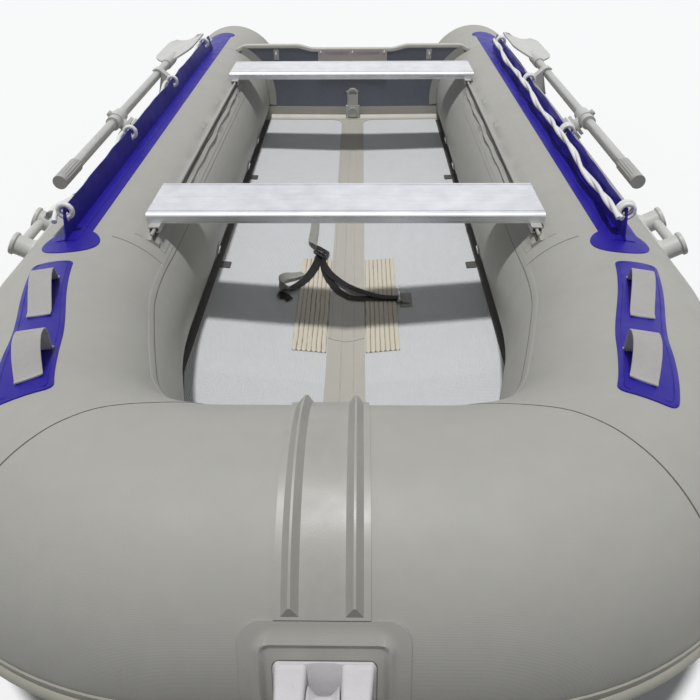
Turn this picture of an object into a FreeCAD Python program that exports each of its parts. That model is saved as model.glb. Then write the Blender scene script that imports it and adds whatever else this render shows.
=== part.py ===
import FreeCAD, Part
import math
import os
import Sketcher
from FreeCAD import Vector, Rotation, Placement

# Inflatable sport boat of about twelve feet: two side tubes joined by a raised bow tube, a fabric
# V bottom under floor panels, a plywood transom, two aluminium benches, stowed oars, lifelines
# and a bow roller. Frame: -Y is the bow, +X the port side, +Z up, Z = 0 the ground under the tubes.

doc = FreeCAD.newDocument("boat")
sheet = doc.addObject("Spreadsheet::Sheet", "Sizes")

SIZES = [
    # buoyancy tubes
    ("tube_rad", 222.0), ("tube_past_bench", 127.0), ("side_fore_y", -850.0), ("side_aft_y", 1640.0),
    ("side_bend_rad", 200.0), ("bow_in_deg", 15.0), ("bow_up_deg", 9.0), ("fore_run", 430.0),
    ("bow_bend_rad", 350.0), ("tail_len", 206.4), ("tail_tip_rad", 88.0), ("tail_cap_len", 22.0),
    ("tail_cap_rad", 70.0), ("skin_gap", 0.3), ("flat_gap", 0.4),
    # rub strakes, swept along the tubes' centre lines
    ("strake_deg", 104.0), ("strake_wide", 52.0), ("strake_thick", 3.0), ("strake_ridge_wide", 20.0),
    ("strake_ridge_tall", 9.0), ("strake_gap", 1.0),
    # floor and bottom: heights at the side and in the middle, from bow to stern
    ("floor_under", 147.0), ("floor_thick", 12.0), ("floor_aft_y", 1136.0), ("floor_aft_side_z", 124.0),
    ("floor_aft_mid_z", 120.0), ("floor_fore_side_z", 116.0), ("floor_fore_mid_z", 58.0),
    ("floor_run_y", -1290.0), ("floor_run_under", 237.0), ("floor_run_side_z", 158.0),
    ("floor_run_mid_z", 118.0), ("floor_tip_y", -1500.0), ("floor_tip_under", 367.0),
    ("floor_tip_side_z", 190.0), ("floor_tip_mid_z", 170.0),
    ("keel_z", 9.0), ("keel_run_z", 62.0), ("keel_tip_z", 108.0), ("hull_tip_y", -1560.0),
    ("chine_under", 127.0), ("chine_z", 46.0), ("chine_run_under", 237.0), ("chine_run_z", 104.0),
    ("chine_tip_under", 377.0), ("chine_tip_z", 122.0), ("keel_guard_wide", 72.0), ("keel_guard_thick", 5.0),
    ("band_wide", 104.0), ("band_thick", 2.0),
    ("pad_in", 50.0), ("pad_len", 498.0), ("pad_mid_y", -478.0), ("pad_base", 1.5), ("pad_rib_wide", 12.0),
    ("pad_rib_tall", 3.0), ("pad_groove", 1.6),
    # transom, its plates, drain and tapes
    ("transom_y", 1150.0), ("transom_thick", 28.0), ("transom_top_z", 452.0), ("transom_dip_z", 436.0),
    ("transom_dip_half", 190.0), ("transom_foot_z", 78.0), ("transom_under", 79.0), ("transom_slope", 60.0),
    ("lobe_wide", 42.0), ("lobe_tall", 20.0),
    ("plate_wide", 322.0), ("plate_tall", 118.0), ("plate_thick", 6.0), ("plate_corner", 14.0),
    ("recess_wide", 108.0), ("recess_tall", 62.0), ("recess_deep", 1.5), ("recess_drop", 12.0),
    ("recess_off", 40.0), ("outer_plate_wide", 344.0), ("outer_plate_tall", 210.0),
    ("drain_wide", 52.0), ("drain_tall", 138.0), ("drain_thick", 14.0), ("drain_flange_wide", 66.0),
    ("drain_flange_tall", 58.0), ("drain_flange_thick", 18.0), ("plug_rad", 23.0), ("plug_len", 7.0),
    ("plug_lip", 4.0), ("plug_sink", 3.0), ("hood_rad", 19.0), ("hood_deep", 9.0),
    ("eye_in", 270.0), ("eye_z", 412.0), ("eye_rad", 12.0), ("eye_wire", 3.2), ("eye_plate_wide", 24.0),
    ("eye_plate_tall", 46.0), ("eye_plate_thick", 2.5),
    ("foot_tape_tall", 52.0), ("foot_tape_deep", 38.0), ("foot_tape_thick", 2.0), ("foot_tape_turn", 12.0),
    ("side_tape_wide", 34.0), ("side_tape_low_deg", -99.0), ("side_tape_top_deg", -28.0),
    # benches and their slides
    ("bench_long", 1000.0), ("bench_deep", 200.0), ("bench_thick", 26.0), ("bench_clear", 16.9),
    ("bench_wall", 2.4), ("front_bench_y", -550.0), ("aft_bench_y", 785.0), ("bench_nose_rad", 9.0),
    ("groove_wide", 4.0), ("groove_deep", 1.2), ("groove_inset", 16.0), ("slide_in", 22.0),
    ("slide_wide", 26.0), ("slide_tall", 16.0), ("slide_wall", 3.0), ("slide_lip", 3.5),
    ("slide_overhang", 22.0),
    # seat flaps: a welded fabric tunnel with a rope bead that runs in the slides
    ("flap_base_in_deg", -54.0), ("flap_base_out_deg", -18.0), ("flap_base_thick", 1.4),
    ("flap_base_past", 45.0), ("flap_thick", 2.0), ("flap_rope_gap", 0.3), ("flap_fore_y", -700.0),
    ("flap_aft_y", 900.0), ("flap_wall_in_deg", -46.0), ("flap_wall_out_deg", -34.0), ("flap_neck", 4.0),
    # blue strips, line flaps and lifelines
    ("strip_thick", 1.6), ("strip_in_deg", -6.0), ("strip_out_deg", 17.0), ("strip_fore_y", -790.0),
    ("strip_aft_y", 1415.0), ("blob_fore_half", 67.0), ("blob_aft_half", 58.0), ("blob_fore_in", 7.0),
    ("line_flap_deg", 6.0), ("line_flap_tall", 62.0), ("line_flap_thick", 4.0), ("line_flap_slope", 45.0),
    ("line_flap_fore_y", -795.0), ("line_flap_aft_y", 1140.0), ("line_hole_rad", 11.0),
    ("line_hole_up", 38.0), ("line_rad", 6.5), ("line_ring_rad", 16.0), ("line_ring_up", 52.8),
    # handle patches and webbing handles on the forward runs
    ("patch_start", 8.0), ("patch_long", 418.0), ("patch_in_deg", -9.0), ("patch_aft_deg", 13.0),
    ("patch_fore_deg", 22.0), ("patch_thick", 1.6), ("patch_corner", 24.0), ("web_wide", 50.0), ("web_thick", 3.0),
    ("web_rise", 38.0), ("web_long", 148.0), ("web_first", 28.0), ("web_step", 186.0),
    ("web_deg", 2.0),
    # moulded lifting handles
    ("lift_y", -547.0), ("lift_deg", 62.0), ("lift_long", 152.0), ("lift_boss_rad", 27.0),
    ("lift_boss_tall", 50.0), ("lift_cap_rad", 31.0), ("lift_cap_tall", 9.0), ("lift_bar_rad", 13.0),
    ("lift_base_half", 46.0), ("lift_base_thick", 4.0), ("lift_round", 4.0),
    # oars and oarlocks
    ("lock_y", 205.0), ("lock_deg", 47.0), ("oar_rise", 46.0), ("oar_fore", 539.0), ("oar_aft", 1135.0),
    ("oar_rad", 17.0), ("oar_turn_deg", 2.0), ("grip_rad", 21.0), ("grip_long", 132.0), ("grip_bore", 112.0),
    ("flute_rad", 2.6), ("blade_long", 415.0), ("blade_wide", 196.0), ("blade_thick", 7.0),
    ("blade_corner", 42.0), ("blade_slant", 46.0), ("blade_neck_rad", 22.0), ("blade_tip_rad", 6.0),
    ("blade_socket", 120.0), ("blade_spine_past", 24.0), ("collar_rad", 24.0), ("collar_step_rad", 27.0),
    ("collar_long", 96.0), ("collar_step", 34.0), ("lug_rad", 20.0), ("ear_rad", 40.0),
    ("ear_thick", 11.0), ("ear_lift", 3.0), ("lock_base_rad", 46.0), ("lock_base_thick", 8.0), ("lock_round", 3.0),
    ("lock_pin_rad", 5.0), ("lock_nut_rad", 11.0), ("lock_nut_tall", 9.0), ("lock_patch_rad", 68.0),
    ("pin_gap", 0.3), ("lug_gap", 0.6),
    ("holder_y", 765.0), ("holder_long", 40.0), ("holder_wall", 6.0), ("holder_gap", 1.0),
    ("holder_foot", 78.0), ("holder_base_thick", 5.0), ("holder_base_half", 44.0),
    # bow strip, roller pad, bracket and roller
    ("bow_strip_x", -4.0), ("bow_strip_wide", 113.0), ("bow_strip_thick", 4.0), ("bow_strip_top_deg", -62.0),
    ("bow_strip_low_deg", 55.0), ("ridge_pitch", 75.0), ("ridge_foot", 21.0), ("ridge_crest", 3.0),
    ("ridge_tall", 11.0), ("ridge_short_deg", 1.0), ("ridge_bevel_deg", 38.0),
    ("roller_pad_top_deg", 55.5), ("roller_pad_low_deg", 100.0), ("roller_pad_wide", 204.0),
    ("roller_pad_thick", 3.0), ("roller_pad_corner", 26.0), ("bead_half_wide", 79.0), ("bead_inset", 17.0),
    ("bead_wide", 9.0), ("bead_tall", 4.5), ("bead_corner", 12.0),
    ("roller_deg", 78.0), ("bracket_half", 50.0), ("bracket_foot_thick", 5.0), ("cheek_foot", 36.0),
    ("cheek_top", 30.0), ("cheek_rise", 64.0), ("cheek_top_half", 34.0), ("cheek_round", 5.0),
    ("chute_tall", 44.0), ("chute_low", 15.0), ("roller_rad", 22.0), ("roller_core_rad", 12.5),
    ("roller_long", 30.0), ("roller_flange", 4.0), ("roller_pin_rad", 5.0), ("pin_head_rad", 9.0),
    ("pin_head_tall", 3.0), ("roller_rise", 42.0), ("roller_side_gap", 1.0),
    # cargo rings and the tank strap
    ("cargo_deg", -106.0), ("cargo_patch_half", 26.0), ("cargo_patch_thick", 1.6), ("cargo_ring_half", 15.0),
    ("cargo_wire", 2.5), ("cargo_tab_wide", 19.0), ("cargo_tab_tall", 14.0), ("cargo_tab_thick", 5.5),
    ("strap_wide", 38.0), ("strap_thick", 2.4),
    # how far a cutting solid runs past what it cuts
    ("overrun", 40.0),
]
for row, (name, value) in enumerate(SIZES, start=1):
    sheet.set("A%d" % row, name)
    sheet.set("B%d" % row, "%.6g" % value)
    sheet.setAlias("B%d" % row, name)
doc.recompute()


def v(name):
    return float(getattr(sheet, name))


def ang(name):
    return math.radians(v(name))


def line(p, q):
    return Part.LineSegment(Vector(p[0], p[1], 0), Vector(q[0], q[1], 0))


def closed(points):
    return [line(p, q) for p, q in zip(points, points[1:] + points[:1])]


def ring(radius, at=(0, 0)):
    return Part.Circle(Vector(at[0], at[1], 0), Vector(0, 0, 1), radius)


def bow_arc(p, q, rise):
    # arc from p to q whose middle stands off the chord by rise, to its left
    px, py = (p[0] + q[0]) / 2, (p[1] + q[1]) / 2
    dx, dy = q[0] - p[0], q[1] - p[1]
    long_ = math.hypot(dx, dy)
    return Part.Arc(Vector(p[0], p[1], 0), Vector(px - dy / long_ * rise, py + dx / long_ * rise, 0),
                    Vector(q[0], q[1], 0))


def rounded(points, radius):
    # closed outline through the points with every corner rounded
    cuts, out = [], []
    for i in range(len(points)):
        before, corner, after = (Vector(*points[(i + k) % len(points)], 0) for k in (-1, 0, 1))
        back, on = before - corner, after - corner
        back.normalize()
        on.normalize()
        half = back.getAngle(on) / 2
        middle = back + on
        middle.normalize()
        start, end = corner + back * (radius / math.tan(half)), corner + on * (radius / math.tan(half))
        out.append(Part.Arc(start, corner + middle * (radius / math.sin(half) - radius), end))
        cuts.append((start, end))
    for (_, end), (start, _) in zip(cuts, cuts[1:] + cuts[:1]):
        out.append(Part.LineSegment(end, start))
    return out


def round_box(half_x, y0, y1, corner):
    return rounded([(-half_x, y0), (half_x, y0), (half_x, y1), (-half_x, y1)], corner)


def sector(r_in, r_out, a0, a1, cx=0.0, cy=0.0):
    # closed ring sector about (cx, cy), its angles from local Y towards local X
    s0, s1 = math.pi / 2 - a1, math.pi / 2 - a0

    def at(r, s):
        return (cx + r * math.cos(s), cy + r * math.sin(s))
    return [Part.ArcOfCircle(ring(r_in, (cx, cy)), s0, s1), Part.ArcOfCircle(ring(r_out, (cx, cy)), s0, s1),
            line(at(r_in, s0), at(r_out, s0)), line(at(r_in, s1), at(r_out, s1))]


def origin_plane(body, role):
    for feature in body.Origin.OriginFeatures:
        if feature.Role == role:
            return feature


def new_body(name):
    body = doc.addObject("PartDesign::Body", name)
    body.Label = name
    return body


def new_sketch(body, role, name, geometry, offset=None):
    sketch = body.newObject("Sketcher::SketchObject", name)
    sketch.AttachmentSupport = [(origin_plane(body, role), "")]
    sketch.MapMode = "FlatFace"
    if offset is not None:
        sketch.AttachmentOffset = offset
    sketch.addGeometry(geometry, False)
    return sketch


def pad(body, sketch, length, midplane=False, reverse=False):
    feature = body.newObject("PartDesign::Pad", sketch.Name + "Pad")
    feature.Profile = sketch
    feature.setExpression("Length", length)
    feature.Midplane = midplane
    feature.Reversed = reverse
    return feature


def pocket(body, sketch, length=None, reverse=False):
    # through everything both ways, or as deep as length says
    feature = body.newObject("PartDesign::Pocket", sketch.Name + "Pocket")
    feature.Profile = sketch
    if length is None:
        feature.Type = 1
        feature.Midplane = True
    else:
        feature.setExpression("Length", length)
        feature.Reversed = reverse
    return feature


def turned(body, sketch, axis, angle="360"):
    feature = body.newObject("PartDesign::Revolution", sketch.Name + "Turn")
    feature.Profile = sketch
    feature.ReferenceAxis = (sketch, [axis])
    feature.setExpression("Angle", angle)
    return feature


def cylinder(name, radius, height, place=Placement()):
    out = doc.addObject("Part::Cylinder", name)
    out.setExpression("Radius", radius)
    out.setExpression("Height", height)
    out.Placement = place
    return out


def joined(kind, name, *parts):
    # kind is MultiFuse, MultiCommon, Cut or Compound
    out = doc.addObject("Part::" + kind, name)
    if kind == "Cut":
        out.Base, out.Tool = parts
    elif kind == "Compound":
        out.Links = list(parts)
    else:
        out.Shapes = list(parts)
    out.Label = name
    return out


def mirrored(name, base):
    other = doc.addObject("Part::Mirroring", name)
    other.Source = base
    other.Normal = Vector(1, 0, 0)
    other.Base = Vector(0, 0, 0)
    other.Label = name
    return other


def mirrored_pair(name, base):
    # the same piece on both sides of the boat, as two solids of one node
    return joined("Compound", name, base, mirrored(name + "Mirror", base))


def shaped(name, shape, place=Placement()):
    out = doc.addObject("Part::Feature", name)
    out.Shape = shape
    out.Placement = place
    out.Label = name
    return out


def biggest(shape):
    return max(shape.Solids, key=lambda q: q.Volume)


def wire(points):
    corners = [Vector(*p) for p in points]
    return Part.makePolygon(corners + corners[:1])


PATH_ROUND_SHARE = 0.45


def tangent_path(points):
    # straight runs joined by arcs that touch both runs; gives the wire and the arcs' radii
    edges, radii = [], []
    last = points[0]
    for before, corner, after in zip(points, points[1:], points[2:]):
        back, on = before - corner, after - corner
        reach = PATH_ROUND_SHARE * min(back.Length, on.Length)
        back.normalize()
        on.normalize()
        turn_ = math.pi - back.getAngle(on)
        radius = reach / math.tan(turn_ / 2)
        half = back + on
        half.normalize()
        start, end = corner + back * reach, corner + on * reach
        middle = corner + half * (radius / math.cos(turn_ / 2) - radius)
        edges.append(Part.LineSegment(last, start).toShape())
        edges.append(Part.Arc(start, middle, end).toShape())
        radii.append(radius)
        last = end
    edges.append(Part.LineSegment(last, points[-1]).toShape())
    return Part.Wire(edges), radii


CORD_SIDES = 8


def cord_section(radius, centre, heading):
    # an eight-sided outline for cords and thin wire, which keeps their facets few
    circle = Part.makeCircle(radius, centre, heading)
    corners = circle.discretize(CORD_SIDES + 1)
    return Part.makePolygon(corners)


def round_cord(points, radius):
    path, radii = tangent_path(points)
    solid = path.makePipeShell([cord_section(radius, points[0], points[1] - points[0])], True, False)
    print("cord of %d points, smallest radius %.0f, length %.0f, volume over section x length %.4f" % (
        len(points), min(radii), path.Length, solid.Volume / (math.pi * radius ** 2 * path.Length)))
    return solid


def wire_ring(ring_rad, wire_rad, turn_deg=360.0):
    # round wire bent to an arc about local Z, starting at local -Y
    disc = Part.Face(cord_section(wire_rad, Vector(0, -ring_rad, 0), Vector(1, 0, 0)))
    return disc.revolve(Vector(), Vector(0, 0, 1), turn_deg)


NODES = []


def keep(obj):
    NODES.append(obj)
    return obj


# Places that follow from the sizes: the tubes stand off the bench ends, and their centre line runs
# straight, bends inward and up, runs on, and turns across the bow.
rt = v("tube_rad")
sg = v("skin_gap")
gap = v("flat_gap")
tube_x = v("bench_long") / 2 + v("tube_past_bench")
b_in, b_up = ang("bow_in_deg"), ang("bow_up_deg")
heading = Vector(-math.sin(b_in), -math.cos(b_in) * math.cos(b_up), math.cos(b_in) * math.sin(b_up))
turn = math.acos(-heading.y)
lean = math.atan2(heading.z, -heading.x)
lean_dir = Vector(-math.cos(lean), 0, math.sin(lean))
bend_r = v("side_bend_rad")
bend_start = Vector(tube_x, v("side_fore_y"), rt)
run_start = bend_start + lean_dir * (bend_r * (1 - math.cos(turn))) + Vector(0, -bend_r * math.sin(turn), 0)
run_end = run_start + heading * v("fore_run")
bow_r = v("bow_bend_rad")
fore_dir = Vector(0, -math.cos(b_up), math.sin(b_up))
bow_mid = run_end + Vector(-bow_r * math.cos(b_in), 0, 0) + fore_dir * (bow_r * (1 - math.sin(b_in)))
bow_axis = Vector(0, bow_mid.y, bow_mid.z)


def side_frame(y):
    # local X outboard, Y up, Z forward, on the port tube's axis
    return Placement(Vector(tube_x, y, rt), Rotation(Vector(1, 0, 0), Vector(0, 0, 1), Vector(0, -1, 0), "ZXY"))


def radial_frame(y, phi, radius):
    # local Z out of the port tube at the angle phi from its top, Y aft, X round the tube outboard
    out = Vector(math.sin(phi), 0, math.cos(phi))
    aft = Vector(0, 1, 0)
    return Placement(Vector(tube_x, y, rt) + out * radius, Rotation(aft.cross(out), aft, out, "ZXY"))


def run_frame(along, roll=0.0):
    # local X outboard, Y up, Z forward, on the axis of the port tube's forward run
    out = Vector(0, 0, 1).cross(heading)
    out.normalize()
    up = heading.cross(out)
    frame = Placement(run_start + heading * along, Rotation(out, up, heading, "ZXY"))
    return frame.multiply(Placement(Vector(0, 0, 0), Rotation(Vector(0, 0, 1), -math.degrees(roll))))


def bow_frame(x):
    # local X forward, Y up, Z to starboard, on the bow tube's axis
    return Placement(Vector(x, bow_axis.y, bow_axis.z),
                     Rotation(Vector(0, -1, 0), Vector(0, 0, 1), Vector(-1, 0, 0), "ZXY"))


def bow_radial_frame(phi, radius):
    # local Z out of the bow tube at the angle phi from its top, X to port, Y up the skin
    out = Vector(0, -math.sin(phi), math.cos(phi))
    port = Vector(1, 0, 0)
    return Placement(Vector(v("bow_strip_x"), bow_axis.y, bow_axis.z) + out * radius,
                     Rotation(port, out.cross(port), out, "ZXY"))


# Buoyancy tubes: coated fabric cylinders, side tubes swept along a bent line and a bow tube across.
def spine_placement():
    return Placement(Vector(tube_x, v("side_aft_y"), rt),
                     Rotation(lean_dir, Vector(0, 1, 0), lean_dir.cross(Vector(0, 1, 0)), "ZXY"))


def side_spine(body, name):
    straight = v("side_aft_y") - v("side_fore_y")
    bend_end = Vector(bend_r - bend_r * math.cos(turn), -straight - bend_r * math.sin(turn), 0)
    onward = Vector(math.sin(turn), -math.cos(turn), 0)
    return new_sketch(body, "XY_Plane", name,
                      [line((0, 0), (0, -straight)),
                       Part.ArcOfCircle(ring(bend_r, (bend_r, -straight)), math.pi, math.pi + turn),
                       Part.LineSegment(bend_end, bend_end + onward * v("fore_run"))])


def bow_placement():
    return Placement(bow_axis, Rotation(Vector(1, 0, 0), fore_dir * -1, Vector(1, 0, 0).cross(fore_dir * -1), "ZXY"))


def bow_spine(body, name):
    return new_sketch(body, "XY_Plane", name,
                      [line((0, 0), (bow_mid.x, 0)),
                       Part.ArcOfCircle(ring(bow_r, (bow_mid.x, bow_r)), -math.pi / 2, -b_in)])


def skin_ring(body, role, name):
    sketch = new_sketch(body, role, name, [ring(rt)])
    sketch.addConstraint(Sketcher.Constraint("Radius", 0, rt))
    sketch.setExpression("Constraints[0]", "Sizes.tube_rad")
    return sketch


def pipe(body, profile, spine):
    feature = body.newObject("PartDesign::AdditivePipe", profile.Name + "Pipe")
    feature.Profile = profile
    feature.Spine = spine
    return feature


def both_sides(body, feature):
    # the same feature mirrored across the boat, in one body
    doc.recompute()
    mirror = body.newObject("PartDesign::Mirrored", feature.Name + "Mirror")
    mirror.Originals = [feature]
    mirror.MirrorPlane = (origin_plane(body, "YZ_Plane"), [""])
    body.Tip = mirror


tube = new_body("port_tube")
tube.Placement = spine_placement()
pipe(tube, skin_ring(tube, "XZ_Plane", "PortTubeRing"), side_spine(tube, "PortTubeSpine"))
keep(tube)
keep(mirrored("starboard_tube", tube))

bow = new_body("bow_tube")
bow.Placement = bow_placement()
both_sides(bow, pipe(bow, skin_ring(bow, "YZ_Plane", "BowRing"), bow_spine(bow, "BowSpine")))
keep(bow)

tail = new_body("PortTail")
tail.Placement = Placement(Vector(tube_x, v("side_aft_y"), rt), Rotation())
tl, tip = v("tail_len"), v("tail_tip_rad")
tail_bulge = (rt - tip) / 6
tail_sk = new_sketch(tail, "XY_Plane", "PortTailProfile",
                     [line((0, 0), (rt, 0)), bow_arc((tip, tl), (rt, 0), tail_bulge),
                      line((tip, tl), (0, tl)), line((0, tl), (0, 0))])
turned(tail, tail_sk, "V_Axis")
keep(mirrored_pair("tail_cones", tail))

tail_cap = doc.addObject("Part::Cone", "PortTailCap")
tail_cap.setExpression("Radius1", "Sizes.tail_tip_rad")
tail_cap.setExpression("Radius2", "Sizes.tail_cap_rad")
tail_cap.setExpression("Height", "Sizes.tail_cap_len")
tail_cap.Placement = Placement(Vector(tube_x, v("side_aft_y") + tl, rt), Rotation(Vector(1, 0, 0), -90))
keep(mirrored_pair("tail_caps", tail_cap))


# Rub strakes: extruded rubber with a rounded ridge, glued along the outside of the tubes a little
# below their widest line, with a butt joint where the side and bow lengths meet.
def strake_profile(centre):
    half = v("strake_wide") / 2 / rt
    crown = v("strake_ridge_wide") / 2 / rt
    low, high = rt + sg, rt + sg + v("strake_thick")

    def at(r, a):
        return (r * math.cos(a), r * math.sin(a))
    top = Vector(*at(high + v("strake_ridge_tall"), centre), 0)
    left, right = at(high, centre - crown), at(high, centre + crown)
    return [Part.ArcOfCircle(ring(low), centre - half, centre + half),
            line(at(low, centre - half), at(high, centre - half)),
            Part.ArcOfCircle(ring(high), centre - half, centre - crown),
            Part.Arc(Vector(*left, 0), top, Vector(*right, 0)),
            Part.ArcOfCircle(ring(high), centre + crown, centre + half),
            line(at(high, centre + half), at(low, centre + half))]


strake_out = Vector(math.sin(ang("strake_deg")), 0, math.cos(ang("strake_deg")))
spine_up = Vector(0, 1, 0).cross(lean_dir)
side_angle = math.atan2(-strake_out.dot(spine_up), strake_out.dot(lean_dir))
side_strake = new_body("SideStrake")
side_strake.Placement = spine_placement()
pipe(side_strake, new_sketch(side_strake, "XZ_Plane", "SideStrakeProfile", strake_profile(side_angle)),
     side_spine(side_strake, "SideStrakeSpine"))
keep(mirrored_pair("side_rub_strakes", side_strake))

# the bow's length starts where the side's ends, and stops at the roller pad on both sides
strake_at_bow = spine_up * strake_out.dot(spine_up)
strake_at_bow += (lean_dir * math.cos(turn) + Vector(0, math.sin(turn), 0)) * strake_out.dot(lean_dir)
bow_angle = math.pi / 2 + fore_dir.cross(Vector(1, 0, 0)).getAngle(strake_at_bow)
bow_strake = new_body("BowStrakeWhole")
bow_strake.Placement = bow_placement()
both_sides(bow_strake, pipe(bow_strake, new_sketch(bow_strake, "YZ_Plane", "BowStrakeProfile",
                                                   strake_profile(bow_angle)),
                            bow_spine(bow_strake, "BowStrakeSpine")))
strake_room = doc.addObject("Part::Box", "StrakeRoom")
strake_room.setExpression("Length", "Sizes.roller_pad_wide + 2 * Sizes.strake_gap")
strake_room.setExpression("Width", "2 * Sizes.tube_rad")
strake_room.setExpression("Height", "2 * Sizes.tube_rad")
strake_room.Placement = Placement(Vector(v("bow_strip_x") - v("roller_pad_wide") / 2 - v("strake_gap"),
                                         bow_axis.y - 2 * rt, bow_axis.z - rt), Rotation())
keep(joined("Cut", "bow_rub_strake", bow_strake, strake_room))


# Floor panels, the keel band over their joint, the fabric bottom below and its keel guard.
def floor_line():
    # the floor's top surface: (y, half width, height at the side, height in the middle)
    return [(v("floor_tip_y"), tube_x - v("floor_tip_under"), v("floor_tip_side_z"), v("floor_tip_mid_z")),
            (v("floor_run_y"), tube_x - v("floor_run_under"), v("floor_run_side_z"), v("floor_run_mid_z")),
            (v("side_fore_y"), tube_x - v("floor_under"), v("floor_fore_side_z"), v("floor_fore_mid_z")),
            (v("floor_aft_y"), tube_x - v("floor_under"), v("floor_aft_side_z"), v("floor_aft_mid_z"))]


def keel_line():
    # the bottom skin: (y, chine out from the middle, chine height, keel height)
    return [(v("hull_tip_y"), tube_x - v("chine_tip_under"), v("chine_tip_z"), v("keel_tip_z")),
            (v("floor_run_y"), tube_x - v("chine_run_under"), v("chine_run_z"), v("keel_run_z")),
            (v("side_fore_y"), tube_x - v("chine_under"), v("chine_z"), v("keel_z")),
            (v("transom_y") + v("transom_thick"), tube_x - v("chine_under"), v("chine_z"), v("keel_z"))]


def floor_z(x, y):
    # height of the floor's top surface at (x, y)
    rows = floor_line()
    for (y0, h0, s0, m0), (y1, h1, s1, m1) in zip(rows, rows[1:]):
        if y <= y1:
            break
    t = (y - y0) / (y1 - y0)
    half, side, mid = h0 + (h1 - h0) * t, s0 + (s1 - s0) * t, m0 + (m1 - m0) * t
    return mid + (side - mid) * abs(x) / half


doc.recompute()
port_solid = tube.Shape.copy()
tubes = port_solid.fuse(port_solid.mirror(Vector(0, 0, 0), Vector(1, 0, 0))).fuse(bow.Shape)
ft = v("floor_thick")


def floor_side_panel():
    sections = []
    for y, half, side, mid in floor_line():
        near = mid + (side - mid) * sg / half
        sections.append(wire([(sg, y, near), (half, y, side), (half, y, side - ft), (sg, y, near - ft)]))
    return biggest(Part.makeLoft(sections, True, True).cut(tubes))


keep(mirrored_pair("floor_panels", shaped("PortFloor", floor_side_panel())))


def chevron(rows, half, lift, thick):
    # a band along the middle of a V surface, in flat facets that keep off the surface: rows of (y, slope
    # per mm, middle height), and a lift below zero for a band under the surface
    loops = [[(x, y, mid + slope * abs(x) + z) for z in (lift, lift + thick) for x in (-half, 0, half)]
             for y, slope, mid in rows]
    faces = [[loop[i] for i in (0, 1, 2, 5, 4, 3)] for loop in (loops[0], loops[-1])]
    for (near, far), (first, second) in zip(zip(loops, loops[1:]), zip(rows, rows[1:])):
        for edge in (0, 2):
            faces.append([near[edge], far[edge], far[edge + 3], near[edge + 3]])
            for middle in (1, 4):
                rim = edge + middle - 1
                if (first[1] > second[1]) == (lift > 0):
                    faces += [[near[middle], near[rim], far[middle]], [near[rim], far[rim], far[middle]]]
                else:
                    faces += [[near[middle], near[rim], far[rim]], [near[middle], far[rim], far[middle]]]
    solid = Part.Solid(Part.Shell([Part.Face(wire(points)) for points in faces]))
    return solid if solid.Volume > 0 else solid.reversed()


band_end = v("transom_y") - v("foot_tape_deep") - 2 * sg
band_half = v("band_wide") / 2
BAND_FACETS = 8
band_stations = [row[0] for row in floor_line()[:-1]]
band_stations += [v("side_fore_y") + (band_end - v("side_fore_y")) * (i + 1) / BAND_FACETS for i in range(BAND_FACETS)]
band_rows = [(y, (floor_z(band_half, y) - floor_z(0, y)) / band_half, floor_z(0, y)) for y in band_stations]
band = chevron(band_rows, band_half, sg, v("band_thick"))
keep(shaped("floor_centre_band", biggest(band.cut(tubes))))


def bottom_skin():
    sections = []
    tops = floor_line()
    for (y, half, side, mid), (yk, chine, chine_z, keel) in zip(tops, keel_line()):
        sections.append(wire([(-half, min(yk, y), side - ft - gap), (0, min(yk, y), mid - ft - gap),
                              (half, min(yk, y), side - ft - gap), (chine, min(yk, y), chine_z),
                              (0, min(yk, y), keel), (-chine, min(yk, y), chine_z)]))
    main = Part.makeLoft(sections, True, True)
    yk, chine, chine_z, keel = keel_line()[-1]
    top = v("transom_foot_z") - gap
    under = [wire([(-chine, y, top), (chine, y, top), (chine, y, chine_z), (0, y, keel), (-chine, y, chine_z)])
             for y in (v("floor_aft_y"), yk)]
    return biggest(main.fuse(Part.makeLoft(under, True, True)).cut(tubes))


keep(shaped("hull_bottom", bottom_skin()))

guard_rows = [(y, (chine_z - keel) / chine, keel) for y, chine, chine_z, keel in keel_line()]
guard = chevron(guard_rows, v("keel_guard_wide") / 2, -sg - v("keel_guard_thick"), v("keel_guard_thick"))
keep(shaped("keel_guard", biggest(guard.cut(tubes))))

# Ribbed foot pads glued each side of the keel band, seven rounded ribs wide.
PAD_RIBS = 7
pad_pitch = v("pad_rib_wide") + v("pad_groove")
pad_wide = PAD_RIBS * pad_pitch
pad_outline = [line((0, v("pad_base")), (0, 0)), line((0, 0), (pad_wide, 0)),
               line((pad_wide, 0), (pad_wide, v("pad_base")))]
for i in range(PAD_RIBS):
    start, end = i * pad_pitch, i * pad_pitch + v("pad_rib_wide")
    pad_outline.append(bow_arc((start, v("pad_base")), (end, v("pad_base")), v("pad_rib_tall")))
    pad_outline.append(line((end, v("pad_base")), (start + pad_pitch, v("pad_base"))))
pad_near = max(v("pad_in"), v("band_wide") / 2 + v("pad_groove"))
pad_sections = []
for pad_y in (v("pad_mid_y") - v("pad_len") / 2, v("pad_mid_y") + v("pad_len") / 2):
    along_floor = Vector(pad_wide, 0, floor_z(pad_near + pad_wide, pad_y) - floor_z(pad_near, pad_y))
    aft = Vector(0, 1, 0)
    section = Part.Wire(Part.__sortEdges__([g.toShape() for g in pad_outline]))
    section.Placement = Placement(Vector(pad_near, pad_y, floor_z(pad_near, pad_y) + sg),
                                  Rotation(along_floor, along_floor.cross(aft), aft * -1, "ZXY"))
    pad_sections.append(section)
keep(mirrored_pair("floor_ribbed_pads", shaped("PortPad", Part.makeLoft(pad_sections, True, True))))

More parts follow.
